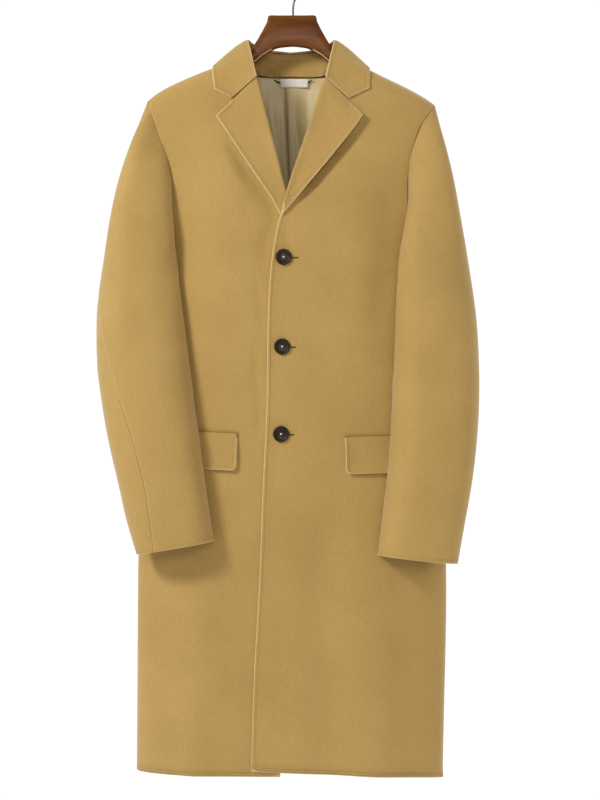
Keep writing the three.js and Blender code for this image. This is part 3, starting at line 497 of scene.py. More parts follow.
print("creases:", len(CREASES))

# %% [markdown]
# ## Which way is out
# A crease moves the cloth out of the body or the sleeve that it wraps. The faces' own normals differ on
# the two sides of a wall, so both sides would move apart. An oval section at each height gives one way
# out for both.
# %% Sections of the body and the sleeves
SECTION_POWER = 1.5
# Each row: the height of a section, where its middle is, across and deep, and half its width and depth
SECTIONS = {
    "body": (
        (-1250, -5.5, -4, 233, 67),
        (-950, -1.5, -1, 235, 66),
        (-700, -3.5, -1, 219, 64),
        (-440, -5, 0, 199, 59),
        (-250, -4.5, 2, 236, 42),
        (-60, -4, 4, 248, 36),
    ),
    "sleeve_right": (
        (-880, -176, -75, 58, 41),
        (-660, -218, -50, 70, 61),
        (-478, -229, -16, 64, 69),
        (-200, -225, 4, 40, 40),
    ),
    "sleeve_left": (
        (-895, 186, -76, 60, 40),
        (-660, 214, -52, 66, 60),
        (-478, 212, -17, 59, 68),
        (-200, 218, 4, 40, 40),
    ),
}


def outward(points, kind):
    """The way out of the cloth at each point, from the section it is part of."""
    table = np.array(SECTIONS[kind]) * MM
    middle_x, middle_y, half_x, half_y = (
        np.interp(points[:, 2], table[:, 0], table[:, column]) for column in range(1, 5)
    )
    across = (points[:, 0] - middle_x) / half_x
    deep = (points[:, 1] - middle_y) / half_y
    way = np.stack(
        (
            np.sign(across) * np.abs(across) ** SECTION_POWER / half_x,
            np.sign(deep) * np.abs(deep) ** SECTION_POWER / half_y,
            np.zeros(len(points)),
        ),
        axis=1,
    )
    return way / np.maximum(np.linalg.norm(way, axis=1, keepdims=True), 1e-9), deep


print("sections:", {kind: len(rows) for kind, rows in SECTIONS.items()})

# %% How far each point moves for the creases
CREASE_WANDER = 4
CREASE_TURNS = 4.1
CREASE_TAIL = 0.25
TAIL_RISE = 2.2
FACING_GAIN = 1.6


def smooth_step(share):
    """A share from 0 to 1 with soft ends."""
    return share * share * (3 - 2 * share)


def crease_heights(points, deep, on):
    """How far each point moves out for the creases of a kind."""
    high = np.zeros(len(points))
    flat = points[:, (0, 2)] / MM
    for row in CREASES:
        if row["on"] != on:
            continue
        start = np.array(row["start"], float)
        side = np.array(row["end"], float) - start
        long = np.linalg.norm(side)
        share = (flat - start) @ side / long**2
        across = ((flat - start) @ np.array((-side[1], side[0]))) / long
        bend = across - CREASE_WANDER * np.sin(share * CREASE_TURNS + start[0])
        ends = np.clip(np.minimum(share + CREASE_TAIL, 1 + CREASE_TAIL - share) * TAIL_RISE, 0, 1)
        high += row["high"] * np.exp(-((bend / row["wide"]) ** 2)) * smooth_step(ends)
    facing = np.clip(deep * (1 if on in ("back", "stand") else -1) * FACING_GAIN, 0, 1)
    return high * facing


print("on the front:", sum(row["on"] == "front" for row in CREASES))

# %% [markdown]
# ## The cut pieces of wool
# Thirteen pieces of wool are sewn together. Each has a kind, which says how its rims and creases are
# made, and the section that it wraps.
# %% The list of pieces
WOOL_PIECES = {
    "front_left": ("front", "body"),
    "front_right": ("front", "body"),
    "back": ("back", "body"),
    "lapel_left": ("lapel", "body"),
    "lapel_right": ("lapel", "body"),
    "flap_left": ("flap", "body"),
    "flap_right": ("flap", "body"),
    "collar_stand": ("collar_stand", "body"),
    "collar_fall": ("collar_fall", "body"),
    "sleeve_right_upper": ("sleeve", "sleeve_right"),
    "sleeve_right_under": ("sleeve", "sleeve_right"),
    "sleeve_left_upper": ("sleeve", "sleeve_left"),
    "sleeve_left_under": ("sleeve", "sleeve_left"),
}
CREASED_AS = {"lapel": "front", "flap": "front", "collar_stand": "stand"}
print("pieces of wool:", len(WOOL_PIECES))

# %% [markdown]
# ## Edges that stand off
# A lapel, a flap and the lapping front are held along one side only. Their free edges stand a few
# millimetres off the cloth beneath, which is what casts the fine shadows beside them. In the editor this
# would be done with proportional editing. Here the lift grows with the square of the nearness to the free
# edge, and is nothing at the seams and roll lines that hold the piece.
# %% Lift the free edges
HELD_WITHIN = 14
NO_FADE = {"from": -1e4, "to": -9e3}
# How far a free edge stands off, over which width, and between which heights the lift fades in
STAND_OFF = {
    "lapel_left": {"lift": 9.0, "wide": 60, "from": -372, "to": -325},
    "lapel_right": {"lift": 5.0, "wide": 56, "from": -366, "to": -320},
    "flap_left": {"lift": 3.4, "wide": 26, **NO_FADE},
    "flap_right": {"lift": 3.4, "wide": 26, **NO_FADE},
    "front_left": {"lift": 2.2, "wide": 16, "from": 0, "to": -345},
}


def free_share(hinge):
    """How freely cloth moves, from 0 where it is held to 1 away from there."""
    return 1 - np.exp(-((hinge / HELD_WITHIN) ** 2))


def stand_off(node, points, edge, hinge):
    """How far each point is lifted, where hinge is how far it is from what holds the piece."""
    if node not in STAND_OFF:
        return np.zeros(len(points))
    row = STAND_OFF[node]
    rise = np.clip(1 - edge / row["wide"], 0, 1) ** 2
    fade = np.clip((points[:, 2] / MM - row["from"]) / (row["to"] - row["from"]), 0, 1)
    return row["lift"] * rise * smooth_step(fade) * free_share(hinge)


print("edges that stand off:", ", ".join(STAND_OFF))

# %% [markdown]
# ## Where cloth lies on cloth
# The solids keep clear of one another. On the real coat the inner side of each sleeve hangs a little over
# the body, and the under lapel runs on to the edge that laps over it. Both pieces are drawn there by a
# soft pull, as the editor's grab brush would do it.
# %% Draw the sleeves and the under lapel over
FACING_FROM = 0.6
FACING_FALL = 1.2
# Each row: the place, how far the ease reaches each way, and how far the cloth is eased in and forward
EASES = (
    {"on": "sleeve_right", "at": (-178, -385), "reach": (26, 62), "in": 9.0, "forward": 5.0},
    {"on": "sleeve_right", "at": (-192, -292), "reach": (20, 52), "in": 1.0, "forward": 4.5},
    {"on": "sleeve_left", "at": (168, -430), "reach": (26, 66), "in": 6.5, "forward": 3.0},
    {"on": "sleeve_left", "at": (180, -300), "reach": (20, 52), "in": 0.0, "forward": 2.0},
)


def hang_over(points, deep, section):
    """Eases a sleeve's inner side in and forward, so that it hangs a little over the body."""
    flat = points[:, (0, 2)] / MM
    facing = np.clip(FACING_FROM - deep * FACING_FALL, 0, 1)
    eased = points.copy()
    for row in EASES:
        if row["on"] == section:
            share = facing * np.exp(-(((flat - row["at"]) / row["reach"]) ** 2).sum(axis=1))
            eased[:, 0] -= np.sign(row["at"][0]) * row["in"] * share * MM
            eased[:, 1] -= row["forward"] * share * MM
    return eased


LAPEL_END = {"x": -22.0, "z": -367.0, "slope": 2.05, "reach": 45.0, "right": 4.5, "down": 13.0}


def reach_overlap(points):
    """Draws the lower end of the under lapel down to the edge of the front that laps over it."""
    x, z = points[:, 0] / MM, points[:, 2] / MM
    above = z - (LAPEL_END["z"] + LAPEL_END["slope"] * (x - LAPEL_END["x"]))
    share = smooth_step(np.clip(1 - above / LAPEL_END["reach"], 0, 1))
    points[:, 0] += LAPEL_END["right"] * share * MM
    points[:, 2] -= LAPEL_END["down"] * share * MM


print("places where a sleeve is eased:", len(EASES))

# %% [markdown]
# ## Making each piece
# Every piece goes through the same steps: the smooth copy, the marks that its material reads, the
# creases, the lifted edge and a slight dip at its seams. The creases depend only on the place, so what
# lies on a front moves with it. The collar's fall is pressed to its shape and isn't creased.
# %% Make the wool pieces
SEAM_DIP = 0.25
SEAM_REACH = 5.0
# Where the elbow seam draws the cloth up: the place and how far it reaches
PUCKERS = (
    (-262, -634, 26),
    (-250, -668, 20),
)
SEAM_PUCKER_REACH = 7
CUFF_PUCKER = 0.35
CUFF_PUCKER_REACH = 9


def puckers(node, kind, points, edge, seam):
    """How much the cloth is drawn up at each point, by the right elbow's seam and at the cuffs."""
    flat = points[:, (0, 2)] / MM
    pucker = np.zeros(len(points))
    if node.startswith("sleeve_right"):
        by_seam = np.exp(-((seam / SEAM_PUCKER_REACH) ** 2))
        for x, z, reach in PUCKERS:
            pucker += np.exp(-(((flat - (x, z)) / reach) ** 2).sum(axis=1)) * by_seam
    if kind == "sleeve":
        pucker += CUFF_PUCKER * np.exp(-((edge / CUFF_PUCKER_REACH) ** 2))
    return np.clip(pucker, 0, 1)


def hang_cloth(piece, node, edge, seam, hinge):
    """Moves a piece's cloth: its creases, its lifted edge, the dip along its seams and a sleeve's ease."""
    kind, section = WOOL_PIECES[node]
    points = points_of(piece)
    way, deep = outward(points, section)
    on = section if kind == "sleeve" else CREASED_AS.get(kind, kind)
    high = crease_heights(points, deep, on) + stand_off(node, points, edge, hinge)
    if kind == "front":
        high += crease_heights(points, deep, "under_lapel") * free_share(hinge)
    if kind in ("front", "back", "sleeve"):
        high -= SEAM_DIP * np.exp(-((seam / SEAM_REACH) ** 2))
    points = points + way * (high * MM)[:, None]
    move_points(piece, hang_over(points, deep, section) if kind == "sleeve" else points)


def finish_piece(piece, material, node=None):
    """Gives a piece its finish and its body, and lets it stand for its solid where it has one."""
    piece.data.materials.append(material)
    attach(piece, "root")
    if node:
        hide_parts(node)


def make_wool_piece(node):
    kind = WOOL_PIECES[node][0]
    piece = smooth_copy(node, f"{node}_cloth", CLOTH_LEVELS)
    points = points_of(piece)
    if node == "lapel_right":
        reach_overlap(points)
        move_points(piece, points)
    free, sewn, rolled = rim_samples(piece, kind)
    edge, along = nearest(points, free)
    seam, seam_along = nearest(points, sewn)
    hinge = np.minimum(seam, nearest(points, rolled)[0])
    mark(piece, "edge_mm", edge)
    mark(piece, "along_mm", np.where(seam < edge, seam_along, along))
    mark(piece, "seam_mm", seam)
    mark(piece, "welt", np.full(len(points), float(kind == "flap")))
    mark(piece, "pucker", puckers(node, kind, points, edge, seam))
    if kind != "collar_fall":
        hang_cloth(piece, node, edge, seam, hinge)
    finish_piece(piece, WOOL, node)
    area = sum(face.area for face in piece.data.polygons) / 2
    print(f"{piece.name}: {len(piece.data.polygons)} faces, {area:.3f} square metres")
    return piece


wool_pieces = {node: make_wool_piece(node) for node in WOOL_PIECES}

# %% [markdown]
# ## The half lining
# The neck opening shows a satin lining with a soft pleat down its middle. Satin is smooth along its long
# threads, so it has a soft gloss and faint upright streaks rather than a nap. The pleat's dark line and a
# broad darker band left of it are painted shade, drawn from an attribute, pleat_mm, the distance to the
# right of the pleat, so that they stay with the cloth.
# %% The satin
# Painted shade: the dark line in the pleat and a broad darker band left of it
PAINTED_PLEAT_SHADE = rgb(0.10, 0.07, 0.03)


def make_satin():
    satin = Finish("taupe_satin")
    pleat = satin.attribute("pleat_mm")
    thread = satin.noise(1400, 2, stretch=(1, 1, 0.06))
    streak = satin.noise(60, 2, stretch=(1.5, 1, 0.12))
    tone = satin.clamped(0.5 + (thread - 0.5) * 0.35 + (streak - 0.5) * 0.6)
    colour = satin.mix(rgb(0.53, 0.43, 0.20), rgb(0.78, 0.66, 0.35), tone)
    # Painted shade in and beside the pleat
    pleat_shade_mask = satin.band(pleat, -0.6, 1.5) * 0.6 + satin.band(pleat, -7.0, 22.0) * 0.18
    colour = satin.mix(colour, PAINTED_PLEAT_SHADE, satin.clamped(pleat_shade_mask))
    satin.colour(colour)
    satin.roughness(0.36 + (thread - 0.5) * 0.12)
    satin.relief(thread * 0.4 + streak * 0.6, 0.12)
    satin.constants(specular_ior_level=0.5, sheen_weight=0.15, sheen_roughness=0.35)
    return satin.material


SATIN = make_satin()
print("satin finish:", len(SATIN.node_tree.nodes), "nodes")

# %% [markdown]
# ## Hanging the lining
# The lining hangs inside the back, so it takes the back's creases, lies a little in front of them and has
# its own upright folds. The pleat is a low ridge with a trough beside it. All are sums of soft bell
# curves across the cloth, which fade out up towards the seam at the collar stand.
# %% Make the lining
LINING_LEVELS = 4
# Where the pleat starts and ends as seen from the front: how far across and how high
PLEAT_TOP = (-11.1, -175)
PLEAT_LOW = (-4.9, -332)
LINING_EASE = 2.4
LOOSE_BELOW = 10
LOOSE_OVER = 60
FOLD_WANDER = 4
FOLD_LONG = 40
# The pleat's ridge and trough: how far right of it, how wide and how high each is
PLEAT_WAVES = (
    (3, 4, 1.6),
    (-5, 5, -1.2),
)
# The folds: where across, how wide and how high each is
LINING_FOLDS = (
    (-88, 12, 2.2),
    (-56, 9, -1.6),
    (-30, 8, 1.8),
    (6, 7, 1.6),
    (26, 8, -1.5),
    (48, 9, 1.8),
    (80, 12, -2.0),
)


def make_lining():
    """The half lining, with a pleat just off its middle and soft upright folds."""
    piece = smooth_copy("lining_back", "lining_satin", LINING_LEVELS)
    points = points_of(piece)
    way, deep = outward(points, "body")
    points = points + way * (crease_heights(points, deep, "back") * MM)[:, None]
    flat = points[:, (0, 2)] / MM
    slope = (PLEAT_LOW[0] - PLEAT_TOP[0]) / (PLEAT_LOW[1] - PLEAT_TOP[1])
    pleat = flat[:, 0] - PLEAT_TOP[0] - (flat[:, 1] - PLEAT_TOP[1]) * slope
    mark(piece, "pleat_mm", np.clip(pleat, -FAR_FROM_EDGE, FAR_FROM_EDGE))
    loose = np.clip((PLEAT_TOP[1] + LOOSE_BELOW - flat[:, 1]) / LOOSE_OVER, 0, 1)
    out = np.full(len(points), LINING_EASE)
    for middle, wide, high in PLEAT_WAVES:
        out += high * np.exp(-(((pleat - middle) / wide) ** 2))
    across = flat[:, 0] + FOLD_WANDER * np.sin(flat[:, 1] / FOLD_LONG)
    for middle, wide, high in LINING_FOLDS:
        out += high * np.exp(-(((across - middle) / wide) ** 2))
    points[:, 1] -= out * loose * MM
    move_points(piece, points)
    finish_piece(piece, SATIN, "lining_back")
    return piece


lining = make_lining()
print("lining:", len(lining.data.polygons), "faces")

# %% [markdown]
# ## The buttons
# Each is turned from dark horn: a raised rim round a dished middle with four holes. A profile is spun
# round the button's axis, because a lathe makes the real one so, and the holes are cut by a boolean, as a
# drill would. Horn is nearly black with faint streaks and a dull polish.
# %% The horn's and the thread's finishes
def make_horn():
    horn = Finish("dark_horn")
    streak = horn.noise(240, 3, stretch=(1, 1, 0.25), roughness=0.6)
    fine = horn.noise(1800, 2)
    tone = horn.clamped(streak * 1.6 - 0.4)
    horn.colour(horn.mix(rgb(0.007, 0.004, 0.003), rgb(0.036, 0.020, 0.013), tone))
    horn.roughness(0.38 + fine * 0.14)
    horn.relief(fine, 0.03)
    horn.constants(specular_ior_level=0.22, coat_weight=0.08, coat_roughness=0.2)
    return horn.material


def make_thread(name, dark, light):
    thread = Finish(name)
    ply = thread.noise(2600, 2, stretch=(1, 1, 0.4))
    thread.colour(thread.mix(dark, light, ply))
    thread.relief(ply, 0.1)
    thread.constants(roughness=0.7, sheen_weight=0.3)
    return thread.material


HORN = make_horn()
DARK_THREAD = make_thread("dark_thread", rgb(0.016, 0.010, 0.006), rgb(0.06, 0.036, 0.018))
# A pale copy of the thread, used only for the painted highlight where the strands cross
PAINTED_HIGHLIGHT_THREAD = make_thread("thread_painted_highlight", rgb(0.66, 0.60, 0.50), rgb(0.95, 0.92, 0.86))
print("button finishes are ready")

# %% Turn a button
BUTTON_RADIUS = 12.2
BUTTON_SIDES = 64
# The profile, from the middle of the back round the rim to the middle of the face. Each row: the share of
# the radius, and the height
BUTTON_PROFILE = (
    (0.0, 0.0),
    (0.70, 0.0),
    (0.90, 0.7),
    (0.97, 1.5),
    (1.0, 2.4),
    (0.985, 3.1),
    (0.94, 3.65),
    (0.875, 3.88),
    (0.815, 3.75),
    (0.765, 3.3),
    (0.72, 2.75),
    (0.66, 2.45),
    (0.35, 2.2),
    (0.0, 2.1),
)


def button_shape():
    """A button that lies on the plane z = 0 and faces up."""
    shape = bmesh.new()
    ends = [shape.verts.new((out * BUTTON_RADIUS * MM, 0, up * MM)) for out, up in BUTTON_PROFILE]
    for start, end in zip(ends, ends[1:]):
        shape.edges.new((start, end))
    bmesh.ops.spin(
        shape,
        geom=shape.verts[:] + shape.edges[:],
        cent=(0, 0, 0),
        axis=(0, 0, 1),
        angle=2 * math.pi,
        steps=BUTTON_SIDES,
        use_merge=True,
    )
    bmesh.ops.remove_doubles(shape, verts=shape.verts, dist=0.001 * MM)
    bmesh.ops.recalc_face_normals(shape, faces=shape.faces)
    mesh = bpy.data.meshes.new("button")
    shape.to_mesh(mesh)
    shape.free()
    return mesh


print("a button is", 2 * BUTTON_RADIUS, "mm across")

# %% Drill its holes and set it in place
HOLE_CORNERS = ((1, 1), (-1, 1), (-1, -1), (1, -1))
BUTTON_HOLE_RADIUS = 1.05
BUTTON_HOLE_OUT = 2.4
HOLE_SIDES = 24
DRILL_LONG = 12
SHARP_HORN = math.radians(40)


def hole_cutter():
    shape = bmesh.new()
    for x, y in HOLE_CORNERS:
        made = bmesh.ops.create_cone(
            shape,
            cap_ends=True,
            segments=HOLE_SIDES,
            radius1=BUTTON_HOLE_RADIUS * MM,
            radius2=BUTTON_HOLE_RADIUS * MM,
            depth=DRILL_LONG * MM,
        )
        shift = Vector((x, y, 0)) * BUTTON_HOLE_OUT * MM
        bmesh.ops.translate(shape, verts=made["verts"], vec=shift)
    mesh = bpy.data.meshes.new("holes")
    shape.to_mesh(mesh)
    shape.free()
    return link(mesh, "hole_cutter")


def seat_of(node):
    """The middle of a button's back and the way it faces: its solid is thinnest that way."""
    points = points_of(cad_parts[node])
    middle = points.mean(axis=0)
    spread = np.linalg.svd(points - middle, full_matrices=False)[2]
    facing = spread[2] if spread[2][1] < 0 else -spread[2]
    heights = (points - middle) @ facing
    return Vector(middle + facing * heights.min()), Vector(facing)


def make_button(node, cutter):
    piece = link(button_shape(), f"{node}_horn")
    cut = piece.modifiers.new("holes", "BOOLEAN")
    cut.operation = "DIFFERENCE"
    cut.solver = "EXACT"
    cut.object = cutter
    applied(piece)
    seat, facing = seat_of(node)
    place = facing.to_track_quat("Z", "Y").to_matrix().to_4x4()
    place.translation = seat
    piece.data.transform(place)
    shade_smooth(piece.data)
    piece.data.set_sharp_from_angle(angle=SHARP_HORN)
    finish_piece(piece, HORN, node)
    return place


print("holes in a button:", len(HOLE_CORNERS))

# %% [markdown]
# ## Sewing the buttons on
# Thread runs up through each hole and crosses the middle of the button. Where the crossing catches the
# light, a small squashed sphere of pale thread colour is laid on as a painted highlight. A strand this small
# needs no twist: a squashed sphere between two holes looks the same, and the material draws the plies.
# %% Sew each button
STRAND_THICK = 0.3
STRAND_ASIDE = 0.3
STRAND_UP = 2.35
PLUG_UP = 2.3
# The painted highlight dot over the crossing: half its length, its thickness and its height
HIGHLIGHT_DOT_HALF = 1.5
HIGHLIGHT_DOT_THICK = 1.4
HIGHLIGHT_DOT_UP = 2.75
STRAND_FLATNESS = 0.8


def stitch_between(shape, start, end, thick):
    """One flattened strand of thread, from one place on the button to another."""
    made = bmesh.ops.create_uvsphere(shape, u_segments=12, v_segments=8, radius=1.0)
    side = end - start
    size = Vector((side.length / 2, thick, thick * STRAND_FLATNESS)) * MM
    bmesh.ops.scale(shape, verts=made["verts"], vec=size)
    turn = side.to_track_quat("X", "Z").to_matrix()
    bmesh.ops.rotate(shape, verts=made["verts"], cent=(0, 0, 0), matrix=turn)
    bmesh.ops.translate(shape, verts=made["verts"], vec=(start + end) / 2 * MM)


def sew_button(node, place):
    """Thread crossed over the button's middle, and a pale dot of painted highlight where the strands cross.
    """
    cross = bmesh.new()
    for x, y in HOLE_CORNERS[:2]:
        corner = Vector((x, y, 0)) * BUTTON_HOLE_OUT
        for shift in (-STRAND_ASIDE, STRAND_ASIDE):
            middle = Vector((-y, x, 0)) * shift + Vector((0, 0, STRAND_UP))
            stitch_between(cross, middle - corner, middle + corner, STRAND_THICK)
    for x, y in HOLE_CORNERS:
        hole = Vector((x, y, 0)) * BUTTON_HOLE_OUT
        stitch_between(cross, hole, hole + Vector((0, 0, PLUG_UP)), BUTTON_HOLE_RADIUS)
    # Painted highlight: a pale squashed sphere over the crossing
    highlight_dot = bmesh.new()
    stitch_between(highlight_dot, Vector((-HIGHLIGHT_DOT_HALF, 0, HIGHLIGHT_DOT_UP)), Vector((HIGHLIGHT_DOT_HALF, 0, HIGHLIGHT_DOT_UP)), HIGHLIGHT_DOT_THICK)
    for shape, name, material in ((cross, "thread", DARK_THREAD), (highlight_dot, "highlight_dot", PAINTED_HIGHLIGHT_THREAD)):
        mesh = bpy.data.meshes.new(f"{node}_{name}")
        shape.to_mesh(mesh)
        shape.free()
        mesh.transform(place)
        shade_smooth(mesh)
        finish_piece(link(mesh, f"{node}_{name}"), material)


cutter = hole_cutter()
button_places = {}
for node in ("button_1", "button_2", "button_3"):
    button_places[node] = make_button(node, cutter)
    sew_button(node, button_places[node])
bpy.data.objects.remove(cutter, do_unlink=True)
print("buttons:", len(button_places))

# %% [markdown]
# ## The buttonholes
# From under each button a dark corded slit runs to a small bar of thread. The front is creased by now, so
# a flat drawing would sink into it: a ray finds the cloth under each point instead, as the editor's
# snapping does. The cord round the slit is a curve with a round bevel, made a mesh.
# %% Find the cloth under a place
front_cloth = wool_pieces["front_left"]
front_tree = BVHTree.FromPolygons(
    [v.co[:] for v in front_cloth.data.vertices], [p.vertices[:] for p in front_cloth.data.polygons]
)


def on_front(x, z, lift):
    """The place on the left front's cloth at x and z, in millimetres, and lift out from it."""
    place, normal, _, _ = front_tree.ray_cast(Vector((x * MM, -0.4, z * MM)), Vector((0, 1, 0)))
    return place + normal * lift * MM


print("the front's cloth has", len(front_cloth.data.polygons), "faces")

# %% Lay the buttonholes on the front
# How far across each buttonhole ends
BUTTONHOLE_ENDS = {"button_1": 6.8, "button_2": 3.5, "button_3": 0.6}
BUTTONHOLE_DROP = 1.0
HIDDEN_SHARE = 0.5
SLIT_HALF = 0.45
SLIT_POINTS = 40
SLIT_ROUNDNESS = 0.35
SLIT_LIFT = 0.1
CORD_RADIUS = 0.7
BAR_RADIUS = 0.62
BAR_OUT = 0.2
BAR_STEP = 0.3
BAR_STEPS = 4
BAR_LIFT = 0.35


def tube(name, places, radius, closed):
    line = bpy.data.curves.new(name, "CURVE")
    line.dimensions = "3D"
    line.bevel_depth = radius * MM
    line.bevel_resolution = 3
    line.use_fill_caps = not closed
    spline = line.splines.new("POLY")
    spline.points.add(len(places) - 1)
    for point, place in zip(spline.points, places):
        point.co = (*place, 1.0)
    spline.use_cyclic_u = closed
    source = bpy.data.objects.new(name, line)
    bpy.context.collection.objects.link(source)
    bpy.context.view_layer.update()
    mesh = bpy.data.meshes.new_from_object(source.evaluated_get(bpy.context.evaluated_depsgraph_get()))
    bpy.data.objects.remove(source, do_unlink=True)
    mesh.materials.clear()
    shade_smooth(mesh)
    finish_piece(link(mesh, name), DARK_THREAD)


def make_buttonhole(node):
    seat = button_places[node].translation / MM
    end = BUTTONHOLE_ENDS[node]
    start = seat.x + BUTTON_RADIUS * HIDDEN_SHARE
    z = seat.z - BUTTONHOLE_DROP
    places = []
    for i in range(SLIT_POINTS):
        angle = 2 * math.pi * i / SLIT_POINTS
        across = math.copysign(abs(math.cos(angle)) ** SLIT_ROUNDNESS, math.cos(angle))
        x = (start + end) / 2 + (end - start) / 2 * across
        places.append(on_front(x, z + SLIT_HALF * math.sin(angle), SLIT_LIFT))
    tube(f"{node}_hole_cord", places, CORD_RADIUS, True)
    steps = range(-BAR_STEPS, BAR_STEPS + 1)
    bar = [on_front(end + BAR_OUT, z + step * BAR_STEP, BAR_LIFT) for step in steps]
    tube(f"{node}_hole_bar", bar, BAR_RADIUS, False)


for node in BUTTONHOLE_ENDS:
    make_buttonhole(node)
print("buttonholes:", len(BUTTONHOLE_ENDS))

# %% [markdown]
# ## The label and the loop
# A bare woven label is sewn over the ends of a black tape, the loop that the coat can hang by. Their
# threads are far too fine to model, so both are thin walls whose weave is drawn by two sine waves in the
# material, one across and one up.
# %% The woven trims
def make_woven(name, dark, light, threads, roughness):
    woven = Finish(name)
    across = woven.node("ShaderNodeSeparateXYZ", None, {0: woven.place}, output="X")
    up = woven.node("ShaderNodeSeparateXYZ", None, {0: woven.place}, output="Z")
    warp = woven.maths("SINE", across * threads) * 0.5 + 0.5
    weft = woven.maths("SINE", up * threads) * 0.5 + 0.5
    soil = woven.noise(70, 2)
    woven.colour(woven.mix(dark, light, woven.clamped(warp * weft * 0.5 + soil * 0.8)))
    woven.relief(warp + weft, 0.12)
    woven.constants(roughness=roughness, sheen_weight=0.2)
    return woven.material


TRIM_LEVELS = 2
LABEL = make_woven("white_label", rgb(0.93, 0.92, 0.90), rgb(0.99, 0.985, 0.97), 9000, 0.7)
TAPE = make_woven("black_tape", rgb(0.006, 0.005, 0.004), rgb(0.03, 0.024, 0.02), 7000, 0.8)
for node, name, material, slot in (
    ("label", "label_woven", LABEL, "label_cloth"),
    ("hanger_loop", "hanger_loop_tape", TAPE, "tape"),
):
    finish_piece(smooth_copy(node, name, TRIM_LEVELS), material, node)
print("trims are on")

# %% [markdown]
# ## The hanger
# A contoured hanger is sawn from a thick board, its edges are chamfered and it is stained and lacquered.
# Its grain runs along the arms, so the noise that draws it is stretched sideways. Along the arch over the
# neck the chamfer's lower faces get a pale painted reflection, coloured like bare wood grain.
# %% The wood's finishes
WOOD_PORE = rgb(0.03, 0.009, 0.004)


def make_wood():
    wood = Finish("stained_wood")
    wander = wood.noise(6, 2, stretch=(1, 1, 2.5))
    grain = wood.noise(55, 4, stretch=(0.16, 1.0, 2.2), roughness=0.62)
    pore = wood.noise(420, 2, stretch=(0.05, 1, 1.6))
    tone = wood.clamped(0.5 + (grain - 0.5) * 1.5 + (wander - 0.5) * 0.8)
    colour = wood.mix(rgb(0.055, 0.015, 0.005), rgb(0.225, 0.078, 0.014), tone)
    colour = wood.mix(colour, WOOD_PORE, wood.clamped((pore - 0.58) * 3.5))
    wood.colour(colour)
    wood.roughness(0.42 + (grain - 0.5) * 0.15)
    wood.relief(grain * 0.5 + pore * 0.5, 0.06)
    wood.constants(coat_weight=0.05, coat_roughness=0.12, specular_ior_level=0.1)
    return wood.material


# A pale painted reflection, standing in for the light that a chamfer catches
def make_painted_reflection():
    """A pale painted reflection for a chamfer, coloured like bare wood grain."""
    painted_shine = Finish("chamfer_painted_reflection")
    grain = painted_shine.noise(120, 3, stretch=(0.3, 1, 1))
    painted_shine.colour(painted_shine.mix(rgb(0.62, 0.40, 0.22), rgb(0.95, 0.78, 0.58), grain))
    painted_shine.roughness(0.4 + grain * 0.1)
    return painted_shine.material


WOOD = make_wood()
PAINTED_REFLECTION = make_painted_reflection()
print("wood finishes are ready")

# %% [markdown]
# ## Shaping the hanger
# The hanger is made as the workshop makes it. Its outline is laid out as a strip of faces, extruded to
# the board's thickness and bevelled. A smooth curve through a few measured places gives the outline,
# which takes far fewer numbers than tracing it.
# %% The hanger's outline
HANGER_MIDDLE = -1.5
STEPS_BETWEEN = 5
HEAD_HALF_THICK = 9.0
READ_WITHIN = 2.0
ARM_PLACES = (79, 92, 115, 145, 170, 188, 200)
# The head at some places out from its middle: the place, its top and its bottom
HANGER_HEAD = (
    (0, -70, -116),
    (22, -70, -118.5),
    (35.5, -70.6, -125),
    (38.5, -80, -127),
    (45, -93, -131),
    (53, -107, -137.5),
    (59.5, -118.5, -143),
    (62.5, -131, -149),
    (67, -144.5, -157),
)


def curve_through(values, steps):
    """Smooth values between the given ones, evenly in number."""
    padded = [values[0], *values, values[-1]]
    smooth = []
    for i in range(1, len(padded) - 2):
        before, start, end, after = padded[i - 1 : i + 3]
        for step in range(steps):
            t = step / steps
            smooth.append(
                start
                + 0.5 * t * (end - before + t * (2 * before - 5 * start + 4 * end - after))
                + 0.5 * t**3 * (3 * (start - end) + after - before)
            )
    return [*smooth, values[-1]]


def arm_rows(way):
    """An arm's top, bottom and half its thickness at some places out from the middle, read from its solid."""
    points = points_of(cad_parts["hanger_body"]) / MM
    rows = []
    for out in ARM_PLACES:
        x = HANGER_MIDDLE + way * out
        near = points[np.abs(points[:, 0] - x) < READ_WITHIN]
        half = (near[:, 1].max() - near[:, 1].min()) / 2
        rows.append((out, near[:, 2].max(), near[:, 2].min(), half))
    return rows


def hanger_columns():
    """The hanger from end to end: the place across, the top, the bottom and half the thickness there."""
    columns = []
    for way in (-1, 1):
        rows = [(*row, HEAD_HALF_THICK) for row in HANGER_HEAD] + arm_rows(way)
        side = list(zip(*(curve_through([row[i] for row in rows], STEPS_BETWEEN) for i in range(4))))
        side = side[:0:-1] if way < 0 else side
        columns += [(HANGER_MIDDLE + way * row[0], *row[1:]) for row in side]
    return columns


print("places along the hanger:", len(hanger_columns()))

# %% Extrude and chamfer the board
HANGER_Y = 4.0
ARM_Y = 1.0
HEAD_END = 68
CHAMFER = 2.6
CHAMFER_STEPS = 3
CHAMFER_ANGLE = math.radians(50)
SHARP_WOOD = math.radians(35)


